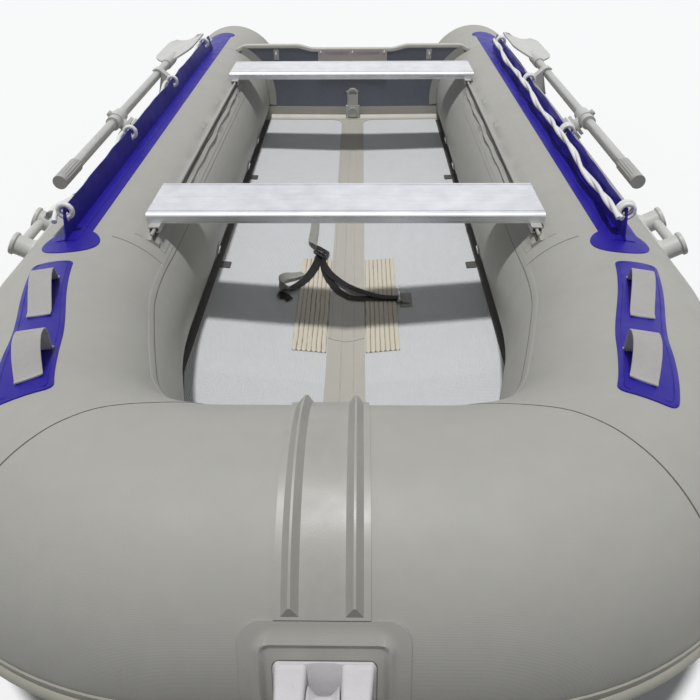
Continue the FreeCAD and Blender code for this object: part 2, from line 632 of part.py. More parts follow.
# Transom: painted plywood with raised lobes and a lowered middle for the motor, cut to the tubes.
board = new_body("transom_board")
board_half = tube_x - v("transom_under")
foot, top, dip_z = v("transom_foot_z"), v("transom_top_z"), v("transom_dip_z")
dip, slope = v("transom_dip_half"), v("transom_slope")
shoulder = (board_half - v("lobe_wide"), top)
lobe = (board_half, top - v("lobe_tall"))
outline = [(-board_half, foot), (board_half, foot), lobe, shoulder, (dip + slope, top), (dip, dip_z),
           (-dip, dip_z), (-dip - slope, top), (-shoulder[0], top), (-board_half, lobe[1])]
pad(board, new_sketch(board, "XZ_Plane", "TransomOutline", closed(outline)), "Sizes.transom_thick", reverse=True)
board.Placement = Placement(Vector(0, v("transom_y"), 0), Rotation())
doc.recompute()
pocket(board, new_sketch(board, "XZ_Plane", "TransomTubes",
                         [ring(rt + gap, (tube_x, rt)), ring(rt + gap, (-tube_x, rt))]))
keep(board)

inner = new_body("motor_plate_inner")
inner_half, inner_low = v("plate_wide") / 2, dip_z - v("plate_tall")
pad(inner, new_sketch(inner, "XZ_Plane", "InnerPlateOutline",
                      round_box(inner_half, inner_low, dip_z, v("plate_corner"))), "Sizes.plate_thick")
doc.recompute()
recess = []
recess_top = dip_z - v("recess_drop")
for side in (-1, 1):
    near, far = side * v("recess_off") / 2, side * (v("recess_off") / 2 + v("recess_wide"))
    recess += closed([(near, recess_top), (far, recess_top), (far, recess_top - v("recess_tall")),
                      (near, recess_top - v("recess_tall"))])
recess_sk = new_sketch(inner, "XZ_Plane", "InnerPlateRecess", recess,
                       Placement(Vector(0, 0, v("plate_thick")), Rotation()))
pocket(inner, recess_sk, "Sizes.recess_deep")
inner.Placement = Placement(Vector(0, v("transom_y"), 0), Rotation())
keep(inner)

outer = new_body("motor_plate_outer")
pad(outer, new_sketch(outer, "XZ_Plane", "OuterPlateOutline",
                      round_box(v("outer_plate_wide") / 2, dip_z - v("outer_plate_tall"), dip_z,
                                v("plate_corner"))), "Sizes.plate_thick", reverse=True)
outer.Placement = Placement(Vector(0, v("transom_y") + v("transom_thick"), 0), Rotation())
keep(outer)

# Drain: a moulded housing with an arched hood, a wider flange at its foot and a screw-in plug.
drain_foot = v("floor_aft_mid_z") + v("foot_tape_thick") + 2 * sg
drain = new_body("drain_housing")
dw, dt = v("drain_wide") / 2, v("drain_tall")
pad(drain, new_sketch(drain, "XZ_Plane", "DrainOutline",
                      [line((-dw, 0), (dw, 0)), line((dw, 0), (dw, dt - dw)),
                       Part.ArcOfCircle(ring(dw, (0, dt - dw)), 0, math.pi), line((-dw, dt - dw), (-dw, 0))]),
    "Sizes.drain_thick")
doc.recompute()
pad(drain, new_sketch(drain, "XZ_Plane", "DrainFlange",
                      closed([(-v("drain_flange_wide") / 2, 0), (v("drain_flange_wide") / 2, 0),
                              (v("drain_flange_wide") / 2, v("drain_flange_tall")),
                              (-v("drain_flange_wide") / 2, v("drain_flange_tall"))])), "Sizes.drain_flange_thick")
doc.recompute()
hood = [Part.ArcOfCircle(ring(v("hood_rad"), (0, dt - dw)), 0, math.pi),
        line((-v("hood_rad"), dt - dw), (v("hood_rad"), dt - dw))]
pocket(drain, new_sketch(drain, "XZ_Plane", "DrainHood", hood, Placement(Vector(0, 0, v("drain_thick")), Rotation())),
       "Sizes.hood_deep")
drain.Placement = Placement(Vector(0, v("transom_y"), drain_foot), Rotation())
keep(drain)

plug = new_body("drain_plug")
pr, pl_ = v("plug_rad"), v("plug_len")
plug_sk = new_sketch(plug, "XZ_Plane", "DrainPlugProfile",
                     closed([(0, 0), (pr, 0), (pr, pl_), (pr - v("plug_lip"), pl_),
                             (pr - v("plug_lip"), pl_ - v("plug_sink")), (0, pl_ - v("plug_sink"))]))
turned(plug, plug_sk, "V_Axis")
plug.Placement = Placement(
    Vector(0, v("transom_y") - v("drain_flange_thick"), drain_foot + v("drain_flange_tall") / 2),
    Rotation(Vector(1, 0, 0), 90))
keep(plug)

# Towing eyes: a bent wire loop on a small plate, through each lobe of the transom.
eye_x = tube_x - v("eye_in")
eye_plate = doc.addObject("Part::Box", "EyePlate")
eye_plate.setExpression("Length", "Sizes.eye_plate_wide")
eye_plate.setExpression("Width", "Sizes.eye_plate_thick")
eye_plate.setExpression("Height", "Sizes.eye_plate_tall")
eye_plate.Placement = Placement(Vector(eye_x - v("eye_plate_wide") / 2, v("transom_y") - v("eye_plate_thick"),
                                       v("eye_z") - v("eye_plate_tall") / 2), Rotation())
eye_loop = shaped("EyeLoop", wire_ring(v("eye_rad"), v("eye_wire"), 180),
                  Placement(Vector(eye_x, v("transom_y") - v("eye_plate_thick") / 2, v("eye_z")),
                            Rotation(Vector(0, -1, 0), Vector(0, 0, 1), Vector(-1, 0, 0), "ZXY")))
keep(mirrored_pair("transom_eyes", joined("MultiFuse", "PortEye", eye_plate, eye_loop)))


# Tapes: fabric strips glued into the corner between floor and board, and round the tubes' joints.
def foot_tape():
    deep, tall, thick, turn_ = v("foot_tape_deep"), v("foot_tape_tall"), v("foot_tape_thick"), v("foot_tape_turn")
    y1 = v("transom_y") - sg
    sections = []
    for x in (-board_half, 0, board_half):
        z0 = floor_z(x, v("floor_aft_y")) + sg
        sections.append(wire([(x, y1 - deep, z0), (x, y1 - deep, z0 + thick), (x, y1 - thick - turn_, z0 + thick),
                              (x, y1 - thick, z0 + thick + turn_), (x, y1 - thick, z0 + tall), (x, y1, z0 + tall),
                              (x, y1, z0)]))
    room = Part.makeBox(v("drain_flange_wide") + 2 * sg, v("drain_flange_thick") + sg + v("overrun"), v("drain_tall"),
                        Vector(-v("drain_flange_wide") / 2 - sg, v("transom_y") - v("drain_flange_thick") - sg,
                               drain_foot - sg))
    grown = Part.makeCylinder(rt + sg, v("transom_y") + v("overrun"), Vector(tube_x, 0, rt), Vector(0, 1, 0))
    both = grown.fuse(grown.mirror(Vector(0, 0, 0), Vector(1, 0, 0)))
    return biggest(Part.makeLoft(sections, True, True).cut(room).cut(both))


keep(shaped("transom_foot_tape", foot_tape()))

side_tape = new_body("PortSideTape")
side_tape.Placement = side_frame(v("transom_y") - sg)
pad(side_tape, new_sketch(side_tape, "XY_Plane", "PortSideTapeSection",
                          sector(rt + 2 * sg, rt + 2 * sg + v("side_tape_wide"), ang("side_tape_low_deg"),
                                 ang("side_tape_top_deg"))), "Sizes.foot_tape_thick")
keep(mirrored_pair("transom_side_tapes", side_tape))

# Benches: hollow aluminium extrusions with rolled edges, two grooves and inner webs, open at the ends.
bench_low_z = rt + math.sqrt(rt ** 2 - v("tube_past_bench") ** 2) + v("bench_clear")
bench_top_z = bench_low_z + v("bench_thick")
BENCH_CELLS = 4


def bench(name, y):
    body = new_body(name)
    deep, thick, nose = v("bench_deep") / 2, v("bench_thick"), v("bench_nose_rad")
    inset, gw, gd, wall = v("groove_inset"), v("groove_wide"), v("groove_deep"), v("bench_wall")
    top_line = [(-deep + nose, 0), (-deep + inset, 0), (-deep + inset, -gd), (-deep + inset + gw, -gd),
                (-deep + inset + gw, 0), (deep - inset - gw, 0), (deep - inset - gw, -gd), (deep - inset, -gd),
                (deep - inset, 0), (deep - nose, 0)]
    shape = [line(p, q) for p, q in zip(top_line, top_line[1:])]
    shape.append(Part.ArcOfCircle(ring(nose, (deep - nose, -nose)), 0, math.pi / 2))
    shape += [line((deep, -nose), (deep, -thick)), line((deep, -thick), (-deep, -thick)),
              line((-deep, -thick), (-deep, -nose))]
    shape.append(Part.ArcOfCircle(ring(nose, (-deep + nose, -nose)), math.pi / 2, math.pi))
    cell = (2 * (deep - nose) - wall * (BENCH_CELLS + 1)) / BENCH_CELLS
    for i in range(BENCH_CELLS):
        left = -deep + nose + wall + i * (cell + wall)
        shape += closed([(left, -thick + wall), (left + cell, -thick + wall), (left + cell, -gd - wall),
                         (left, -gd - wall)])
    pad(body, new_sketch(body, "YZ_Plane", name + "Section", shape), "Sizes.bench_long", midplane=True)
    body.Placement = Placement(Vector(0, y, bench_top_z), Rotation())
    return body


keep(bench("front_bench", v("front_bench_y")))
keep(bench("aft_bench", v("aft_bench_y")))


def slide(name, y):
    # slotted channel under the bench's end that holds the rope bead of the seat flap
    body = new_body(name + "Port")
    w, h, t, lip = v("slide_wide") / 2, v("slide_tall"), v("slide_wall"), v("slide_lip")
    section = [(-w, 0), (w, 0), (w, -h), (lip, -h), (lip, -h + t), (w - t, -h + t), (w - t, -t),
               (-w + t, -t), (-w + t, -h + t), (-lip, -h + t), (-lip, -h), (-w, -h)]
    pad(body, new_sketch(body, "XZ_Plane", name + "Section", closed(section)),
        "Sizes.bench_deep + 2 * Sizes.slide_overhang", midplane=True)
    body.Placement = Placement(Vector(slide_x, y, bench_low_z), Rotation())
    return mirrored_pair(name, body)


slide_x = v("bench_long") / 2 - v("slide_in")
keep(slide("front_bench_slides", v("front_bench_y")))
keep(slide("aft_bench_slides", v("aft_bench_y")))

# Seat flaps: a base strip welded to each tube, and on it a tunnel of folded fabric whose top seam
# holds a rope bead. The bench slides run along the bead.
flap_base = new_body("SeatFlapBase")
pad(flap_base, new_sketch(flap_base, "XY_Plane", "SeatFlapBaseSection",
                          sector(rt + sg, rt + sg + v("flap_base_thick"), ang("flap_base_in_deg"),
                                 ang("flap_base_out_deg"))),
    "Sizes.flap_aft_y - Sizes.flap_fore_y + 2 * Sizes.flap_base_past")
flap_base.Placement = side_frame(v("flap_aft_y") + v("flap_base_past"))
keep(mirrored_pair("seat_flap_bases", flap_base))

bead = (slide_x - tube_x, bench_low_z - v("slide_tall") / 2 - rt)
neck_y = bead[1] - v("slide_tall") / 2 - v("flap_neck")
flap_r = rt + 2 * sg + v("flap_base_thick")
foot_in = (flap_r * math.sin(ang("flap_wall_in_deg")), flap_r * math.cos(ang("flap_wall_in_deg")))
foot_out = (flap_r * math.sin(ang("flap_wall_out_deg")), flap_r * math.cos(ang("flap_wall_out_deg")))
TUNNEL_HOLLOW_SHARE = 0.42
flap_half = v("flap_thick") / 2
apex = (bead[0], neck_y)
middle_of = tuple(sum(p[i] for p in (foot_in, foot_out, apex)) / 3 for i in (0, 1))
hollow = [tuple(middle_of[i] + (p[i] - middle_of[i]) * TUNNEL_HOLLOW_SHARE for i in (0, 1))
          for p in (foot_in, apex, foot_out)]
flap_tunnel = new_body("SeatFlapTunnel")
outside = [line(foot_in, (bead[0] - flap_half, neck_y)), line((bead[0] - flap_half, neck_y), (bead[0] - flap_half, bead[1])),
           line((bead[0] - flap_half, bead[1]), (bead[0] + flap_half, bead[1])),
           line((bead[0] + flap_half, bead[1]), (bead[0] + flap_half, neck_y)),
           line((bead[0] + flap_half, neck_y), foot_out),
           Part.ArcOfCircle(ring(flap_r), math.pi / 2 - ang("flap_wall_out_deg"), math.pi / 2 - ang("flap_wall_in_deg"))]
pad(flap_tunnel, new_sketch(flap_tunnel, "XY_Plane", "SeatFlapTunnelSection", outside + closed(hollow)),
    "Sizes.flap_aft_y - Sizes.flap_fore_y")
flap_tunnel.Placement = side_frame(v("flap_aft_y"))
flap_rope = cylinder("SeatFlapRope", "Sizes.slide_tall / 2 - Sizes.slide_wall - Sizes.flap_rope_gap",
                     "Sizes.flap_aft_y - Sizes.flap_fore_y",
                     side_frame(v("flap_aft_y")).multiply(Placement(Vector(bead[0], bead[1], 0), Rotation())))
keep(mirrored_pair("seat_flaps", joined("MultiFuse", "SeatFlap", flap_tunnel, flap_rope)))


# Blue strips along the top of the side tubes: thin fabric with a rounded blob at each end.
def skin_patch(name, shell_frame, thick, a0, a1, length, outline):
    # a thin ring sector on a tube, kept where the outline's solid crosses it
    shell = new_body(name + "Shell")
    pad(shell, new_sketch(shell, "XY_Plane", name + "ShellSection", sector(rt + sg, rt + sg + thick, a0, a1)), length)
    shell.Placement = shell_frame
    return joined("MultiCommon", name, shell, outline)


def flat_outline(name, geometry, frame):
    # an outline drawn on the tangent plane and run through the skin
    body = new_body(name)
    pad(body, new_sketch(body, "XY_Plane", name + "Outline", geometry), "Sizes.tube_rad", midplane=True)
    body.Placement = frame
    return body


BLOB_LONG_SHARE = 0.88
strip_mid = (ang("strip_in_deg") + ang("strip_out_deg")) / 2
strip_half = rt * math.sin((ang("strip_out_deg") - ang("strip_in_deg")) / 2)
strip_frame = radial_frame(0, strip_mid, rt)
strip_run = flat_outline("StripRun", closed([(-strip_half, v("strip_fore_y")), (strip_half, v("strip_fore_y")),
                                             (strip_half, v("strip_aft_y")), (-strip_half, v("strip_aft_y"))]),
                         strip_frame)
blobs = []
for name, x, y, half in (("StripBlobFore", -v("blob_fore_in"), v("strip_fore_y"), v("blob_fore_half")),
                         ("StripBlobAft", 0, v("strip_aft_y"), v("blob_aft_half"))):
    oval = Part.Ellipse(Vector(x, y, 0), half, half * BLOB_LONG_SHARE)
    blobs.append(flat_outline(name, [oval], strip_frame))
strip_outline = joined("MultiFuse", "StripOutline", strip_run, *blobs)
strip_past = v("blob_fore_half") + v("overrun")
strip = skin_patch("PortStrip", side_frame(v("strip_aft_y") + strip_past), v("strip_thick"), -math.pi / 4,
                   math.pi / 4, "Sizes.strip_aft_y - Sizes.strip_fore_y + 2 * Sizes.blob_fore_half + 2 * Sizes.overrun",
                   strip_outline)
keep(mirrored_pair("blue_strips", strip))

# Line flaps: a fold of the strip standing up, with holes for the lifeline. The holes' places are
# shares of the flap's length.
LINE_HOLE_SHARES = [0.028, 0.314, 0.605, 0.926]
flap = new_body("PortLineFlap")
flap.Placement = radial_frame(0, ang("line_flap_deg"), rt + 2 * sg + v("strip_thick"))
y0, y1, tall = v("line_flap_fore_y"), v("line_flap_aft_y"), v("line_flap_tall")
hole_ys = [y0 + share * (y1 - y0) for share in LINE_HOLE_SHARES]
pad(flap, new_sketch(flap, "YZ_Plane", "PortLineFlapOutline",
                     closed([(y0, 0), (y1, 0), (y1 - v("line_flap_slope"), tall), (y0 + v("line_flap_slope"), tall)])),
    "Sizes.line_flap_thick", midplane=True)
doc.recompute()
pocket(flap, new_sketch(flap, "YZ_Plane", "PortLineFlapHoles",
                        [ring(v("line_hole_rad"), (y, v("line_hole_up"))) for y in hole_ys]))
keep(mirrored_pair("line_flaps", flap))

# Lifelines: soft braided rope along the outer side of each flap, held at every hole by a rope ring
# that goes through the hole and over the flap's edge. The points are (aft, out from the flap, up).
LIFELINE = [(-768, 22, 39), (-738, 29.3, 50), (-690, 27, 46), (-640, 21, 36), (-585, 17, 28), (-525, 20, 24),
            (-465, 24, 26), (-405, 22, 30), (-345, 17, 34), (-285, 18, 40), (-235, 25, 47), (-187, 29.3, 51),
            (-135, 25, 44), (-75, 18, 34), (-10, 16, 27), (60, 20, 24), (130, 24, 27), (200, 21, 33),
            (265, 18, 40), (325, 25, 47), (375, 29.3, 51), (430, 25, 44), (500, 17, 34), (580, 16, 26),
            (660, 20, 23), (740, 24, 25), (820, 21, 31), (890, 18, 39), (945, 25, 47), (997, 29.3, 51),
            (1032, 27, 45)]
# the line's end is laid back beside it and whipped
LIFELINE_TAIL = [(-752, 43.2, 45), (-722, 42.6, 49), (-684, 40.2, 45), (-636, 34.6, 36), (-588, 31, 29)]


def lifeline():
    def at(points):
        return [Vector(out, along, up) for along, out, up in points]
    solids = [round_cord(at(LIFELINE), v("line_rad")), round_cord(at(LIFELINE_TAIL), v("line_rad"))]
    for y in hole_ys:
        loop = wire_ring(v("line_ring_rad"), v("line_rad"))
        loop.Placement = Placement(Vector(0, y, v("line_ring_up")), Rotation(Vector(1, 0, 0), 90))
        solids.append(loop)
    return Part.makeCompound(solids)


port_line = keep(shaped("port_lifeline", lifeline(), flap.Placement))
keep(mirrored("starboard_lifeline", port_line))

# Handle patches: tapered blue fabric on the forward runs, with two webbing loops on each.
patch_in = rt * math.sin(ang("patch_in_deg"))
patch_aft = rt * math.sin(ang("patch_aft_deg"))
patch_fore = rt * math.sin(ang("patch_fore_deg"))
patch_outline = new_body("PatchOutline")
pad(patch_outline, new_sketch(patch_outline, "XZ_Plane", "PatchOutlineSketch",
                              rounded([(patch_in, 0), (patch_aft, 0), (patch_fore, v("patch_long")),
                                       (patch_in, v("patch_long"))], v("patch_corner"))),
    "2 * Sizes.tube_rad", reverse=True)
patch_outline.Placement = run_frame(v("patch_start"))
patch = skin_patch("PortPatch", run_frame(v("patch_start")), v("patch_thick"), -math.pi / 4, math.pi / 4,
                   "Sizes.patch_long", patch_outline)
keep(mirrored_pair("handle_patches", patch))

# a webbing loop's line, as shares of its length and of its rise
WEB_LINE_SHARES = [(0, 0), (0.12, 0), (0.19, 0.78), (0.38, 1.0), (0.62, 0.74), (0.82, 0), (1, 0)]


def web_handle(name, along):
    t, wide, long_, rise = v("web_thick"), v("web_wide"), v("web_long"), v("web_rise")
    foot_r = rt + 2 * sg + v("patch_thick") + t / 2
    points = [Vector(0, foot_r + up * rise, on * long_) for on, up in WEB_LINE_SHARES]
    path, radii = tangent_path(points)
    profile = wire([(-wide / 2, foot_r - t / 2, 0), (wide / 2, foot_r - t / 2, 0), (wide / 2, foot_r + t / 2, 0),
                    (-wide / 2, foot_r + t / 2, 0)])
    return shaped(name, path.makePipeShell([profile], True, False), run_frame(along, ang("web_deg")))


web_pairs = [mirrored_pair("Web%dPair" % i, web_handle("PortWeb%d" % i, v("web_first") + i * v("web_step")))
             for i in range(2)]
keep(joined("Compound", "webbing_handles", *web_pairs))

# Lifting handles: one moulding with a curved base, two bosses with domed caps and a thick bar.
lift_frame = radial_frame(v("lift_y"), ang("lift_deg"), rt)
lift_base = skin_patch("LiftBase", side_frame(v("lift_y") + v("lift_long")), v("lift_base_thick"),
                       ang("lift_deg") - math.pi / 4, ang("lift_deg") + math.pi / 4, "2 * Sizes.lift_long",
                       flat_outline("LiftBaseOutline", round_box(v("lift_base_half"),
                                                                 -v("lift_long") / 2 - v("lift_base_half"),
                                                                 v("lift_long") / 2 + v("lift_base_half"),
                                                                 v("lift_base_half") * BLOB_LONG_SHARE), lift_frame))
lift_parts = [lift_base]
boss_low, boss_top = v("lift_base_thick") / 2, v("lift_boss_tall") + v("lift_cap_tall")
for i, side in enumerate((-1, 1)):
    boss = new_body("LiftBoss%d" % i)
    cap_low, br, cr, rr = v("lift_boss_tall"), v("lift_boss_rad"), v("lift_cap_rad"), v("lift_round")
    turned(boss, new_sketch(boss, "XZ_Plane", "LiftBoss%dProfile" % i,
                            [line((0, boss_low), (cr, boss_low)),
                             bow_arc((cr, boss_low), (br, boss_low + rr * 2), -rr / 2),
                             line((br, boss_low + rr * 2), (br, cap_low - rr)),
                             line((br, cap_low - rr), (cr, cap_low)), line((cr, cap_low), (cr, boss_top - rr)),
                             Part.ArcOfCircle(ring(rr, (cr - rr, boss_top - rr)), 0, math.pi / 2),
                             line((cr - rr, boss_top), (0, boss_top)), line((0, boss_top), (0, boss_low))]), "V_Axis")
    boss.Placement = lift_frame.multiply(Placement(Vector(0, side * v("lift_long") / 2, 0), Rotation()))
    lift_parts.append(boss)
bar_up = v("lift_boss_tall") - v("lift_bar_rad")
lift_parts.append(cylinder("LiftBar", "Sizes.lift_bar_rad", "Sizes.lift_long",
                           lift_frame.multiply(Placement(Vector(0, -v("lift_long") / 2, bar_up),
                                                         Rotation(Vector(1, 0, 0), -90)))))
keep(mirrored_pair("lifting_handles", joined("MultiFuse", "PortLiftHandle", *lift_parts)))

# Oarlocks: a round base on a fabric disc, with a pin and a wing nut that the oar's collar turns on.
lock_skin = radial_frame(v("lock_y"), ang("lock_deg"), rt)
lock_patch = skin_patch("LockPatch", side_frame(v("lock_y") + v("lock_patch_rad")), v("patch_thick"),
                        ang("lock_deg") - math.pi / 4, ang("lock_deg") + math.pi / 4, "2 * Sizes.lock_patch_rad",
                        flat_outline("LockPatchOutline", [ring(v("lock_patch_rad"))], lock_skin))
hold_skin = radial_frame(v("holder_y"), ang("lock_deg"), rt)
hold_patch = skin_patch("HolderPatch", side_frame(v("holder_y") + v("lock_patch_rad")), v("patch_thick"),
                        ang("lock_deg") - math.pi / 4, ang("lock_deg") + math.pi / 4, "2 * Sizes.lock_patch_rad",
                        flat_outline("HolderPatchOutline", [ring(v("lock_patch_rad"))], hold_skin))
keep(joined("Compound", "oar_patches", mirrored_pair("LockPatchPair", lock_patch),
            mirrored_pair("HolderPatchPair", hold_patch)))

lock_foot = rt + 2 * sg + v("patch_thick")
lock_frame = radial_frame(v("lock_y"), ang("lock_deg"), lock_foot)


def seat_drop(half):
    # how far the skin falls off its tangent plane at half
    return lock_foot - math.sqrt(lock_foot ** 2 - half ** 2)


oar_up = v("oar_rise") + v("lock_base_thick")
lock_body = new_body("PortOarlock")
lb, lbt, lr, pr2 = v("lock_base_rad"), v("lock_base_thick"), v("lock_round"), v("lock_pin_rad")
lock_skirt = -seat_drop(lb)
nut_low = oar_up + v("collar_step_rad") + v("pin_gap")
pin_top = nut_low + v("lock_nut_tall")
turned(lock_body, new_sketch(lock_body, "XZ_Plane", "LockProfile",
                             [line((0, lock_skirt), (lb, lock_skirt)), line((lb, lock_skirt), (lb, lbt - lr)),
                              Part.ArcOfCircle(ring(lr, (lb - lr, lbt - lr)), 0, math.pi / 2),
                              line((lb - lr, lbt), (pr2, lbt)), line((pr2, lbt), (pr2, nut_low)),
                              line((pr2, nut_low), (v("lock_nut_rad"), nut_low)),
                              line((v("lock_nut_rad"), nut_low), (v("lock_nut_rad"), pin_top - lr)),
                              Part.ArcOfCircle(ring(lr, (v("lock_nut_rad") - lr, pin_top - lr)), 0, math.pi / 2),
                              line((v("lock_nut_rad") - lr, pin_top), (0, pin_top)), line((0, pin_top), (0, lock_skirt))]),
       "V_Axis")
lock_body.Placement = lock_frame
# the disc's underside is hollowed to the tube's round
lock_seat = doc.addObject("Part::Cylinder", "LockSeat")
lock_seat.setExpression("Radius", "Sizes.tube_rad + 2 * Sizes.skin_gap + Sizes.patch_thick")
lock_seat.setExpression("Height", "4 * Sizes.lock_base_rad")
lock_seat.Placement = side_frame(v("lock_y") + 2 * v("lock_base_rad"))
keep(mirrored_pair("oarlocks", joined("Cut", "PortLock", lock_body, lock_seat)))

# Oars: aluminium shaft, fluted grip, locking collar and a moulded blade. Local Y runs aft along the
# shaft and Z stands out of the tube.
oar_f = lock_frame.multiply(Placement(Vector(0, 0, oar_up), Rotation(Vector(0, 0, 1), v("oar_turn_deg"))))


def along_shaft(name, radius, start, length):
    return cylinder(name, radius, length,
                    oar_f.multiply(Placement(Vector(0, start, 0), Rotation(Vector(1, 0, 0), -90))))


def port_and_starboard(name, base):
    base.Label = "port_" + name
    keep(base)
    keep(mirrored("starboard_" + name, base))


pin_hole = cylinder("OarPinHole", "Sizes.lock_pin_rad + Sizes.pin_gap", "4 * Sizes.collar_step_rad",
                    oar_f.multiply(Placement(Vector(0, 0, -2 * v("collar_step_rad")), Rotation())))
shaft_start = -v("oar_fore") + v("grip_long") - v("grip_bore") + v("pin_gap")
shaft_blank = along_shaft("OarShaftBlank", "Sizes.oar_rad", shaft_start,
                          "Sizes.oar_fore - Sizes.grip_long + Sizes.grip_bore + Sizes.oar_aft - Sizes.blade_long"
                          " + Sizes.blade_socket - 2 * Sizes.pin_gap")
port_and_starboard("oar_shaft", joined("Cut", "PortOarShaft", shaft_blank, pin_hole))

GRIP_FLUTES = 16
grip = new_body("PortOarGrip")
pad(grip, new_sketch(grip, "XY_Plane", "GripRound", [ring(v("grip_rad"))]), "Sizes.grip_long")
doc.recompute()
grip_bore = new_sketch(grip, "XY_Plane", "GripBore", [ring(v("oar_rad") + v("pin_gap") / 3)])
pocket(grip, grip_bore, "Sizes.grip_bore", reverse=True)
doc.recompute()
flute = pocket(grip, new_sketch(grip, "XY_Plane", "GripFlute",
                                [ring(v("flute_rad"), (v("grip_rad") + v("flute_rad") / 2, 0))]),
               "Sizes.grip_bore", reverse=True)
doc.recompute()
flutes = grip.newObject("PartDesign::PolarPattern", "GripFlutes")
flutes.Originals = [flute]
flutes.Axis = (grip_bore, ["N_Axis"])
flutes.Occurrences = GRIP_FLUTES
grip.Tip = flutes
grip.Placement = oar_f.multiply(Placement(Vector(0, -v("oar_fore") + v("grip_long"), 0), Rotation(Vector(1, 0, 0), 90)))
port_and_starboard("oar_grip", grip)

collar_parts = [along_shaft("CollarSleeve", "Sizes.collar_rad", -v("collar_long") / 2, "Sizes.collar_long"),
                along_shaft("CollarStep", "Sizes.collar_step_rad", -v("collar_step") / 2, "Sizes.collar_step"),
                cylinder("CollarLug", "Sizes.lug_rad", "Sizes.oar_rise - Sizes.lug_gap",
                         oar_f.multiply(Placement(Vector(0, 0, -v("oar_rise") + v("lug_gap")), Rotation()))),
                cylinder("CollarEar", "Sizes.ear_rad", "Sizes.ear_thick",
                         oar_f.multiply(Placement(Vector(0, 0, -v("oar_rise") + v("ear_lift")), Rotation())))]
collar_solid = joined("MultiFuse", "CollarSolid", *collar_parts)
collar_bore = along_shaft("CollarBore", "Sizes.oar_rad + Sizes.pin_gap / 3", -v("collar_long"),
                          "2 * Sizes.collar_long")
collar = joined("Cut", "CollarRing", collar_solid, collar_bore)
port_and_starboard("oar_collar", joined("Cut", "PortOarCollar", collar, pin_hole))

blade_root = v("oar_aft") - v("blade_long")
bw, ba = v("blade_wide") / 2, v("oar_aft")
SHOULDER_SHARE, SWELL_SHARE = 0.34, 0.09
neck, corner = v("blade_neck_rad"), v("blade_corner")
shoulder_y = blade_root + SHOULDER_SHARE * v("blade_long")
blade_flat = new_body("OarBladeFlat")
blade_geo = [line((-neck, blade_root), (neck, blade_root)),
             bow_arc((neck, blade_root), (bw, shoulder_y), bw * SWELL_SHARE),
             line((bw, shoulder_y), (bw, ba - corner)),
             Part.ArcOfCircle(ring(corner, (bw - corner, ba - corner)), 0, math.pi / 2),
             line((bw - corner, ba), (-bw, ba - v("blade_slant"))),
             line((-bw, ba - v("blade_slant")), (-bw, shoulder_y)),
             bow_arc((-bw, shoulder_y), (-neck, blade_root), bw * SWELL_SHARE)]
pad(blade_flat, new_sketch(blade_flat, "XY_Plane", "OarBladeOutline", blade_geo), "Sizes.blade_thick", midplane=True)
blade_flat.Placement = oar_f
blade_neck = along_shaft("BladeNeck", "Sizes.blade_neck_rad", blade_root - v("blade_spine_past"),
                         "Sizes.blade_socket + 2 * Sizes.blade_spine_past")
spine = doc.addObject("Part::Cone", "BladeSpine")
spine.setExpression("Radius1", "Sizes.blade_neck_rad")
spine.setExpression("Radius2", "Sizes.blade_tip_rad")
spine.setExpression("Height", "Sizes.blade_long - Sizes.blade_socket - 2 * Sizes.blade_spine_past")
spine.Placement = oar_f.multiply(Placement(Vector(0, blade_root + v("blade_socket") + v("blade_spine_past"), 0),
                                           Rotation(Vector(1, 0, 0), -90)))
blade_bore = along_shaft("BladeBore", "Sizes.oar_rad + Sizes.pin_gap / 3", blade_root - 2 * v("blade_spine_past"),
                         "Sizes.blade_socket + 2 * Sizes.blade_spine_past")
blade_solid = joined("MultiFuse", "BladeSolid", blade_flat, blade_neck, spine)
port_and_starboard("oar_blade", joined("Cut", "PortOarBlade", blade_solid, blade_bore))

# Oar holders: a gusset that carries a half clip, open outboard so that the shaft swings out of it.
holder = new_body("PortHolder")
clip_r = v("oar_rad") + v("holder_gap")
clip_out = clip_r + v("holder_wall")
hold_foot = rt + 2 * sg + v("patch_thick")
hold_up = oar_up
oar_across = -math.tan(math.radians(v("oar_turn_deg"))) * (v("holder_y") - v("lock_y"))
base_half, base_t = v("holder_base_half"), v("holder_base_thick")
holder_geo = [Part.ArcOfCircle(ring(clip_r, (oar_across, hold_up)), math.pi / 2, 3 * math.pi / 2),
              line((oar_across, hold_up + clip_r), (oar_across, hold_up + clip_out)),
              Part.ArcOfCircle(ring(clip_out, (oar_across, hold_up)), math.pi / 2, math.pi),
              line((oar_across - clip_out, hold_up), (-base_half, base_t)),
              line((-base_half, base_t), (-base_half, -seat_drop(base_half))),
              line((-base_half, -seat_drop(base_half)), (base_half, -seat_drop(base_half))),
              line((base_half, -seat_drop(base_half)), (base_half, base_t)),
              line((base_half, base_t), (v("holder_foot") / 2, base_t)),
              line((v("holder_foot") / 2, base_t), (oar_across, hold_up - clip_r))]
pad(holder, new_sketch(holder, "XZ_Plane", "HolderSection", holder_geo), "Sizes.holder_long", midplane=True)
holder.Placement = radial_frame(v("holder_y"), ang("lock_deg"), hold_foot)
holder_seat = doc.addObject("Part::Cylinder", "HolderSeat")
holder_seat.setExpression("Radius", "Sizes.tube_rad + 2 * Sizes.skin_gap + Sizes.patch_thick")
holder_seat.setExpression("Height", "4 * Sizes.holder_long")
holder_seat.Placement = side_frame(v("holder_y") + 2 * v("holder_long"))
keep(mirrored_pair("oar_holders", joined("Cut", "PortOarHolder", holder, holder_seat)))

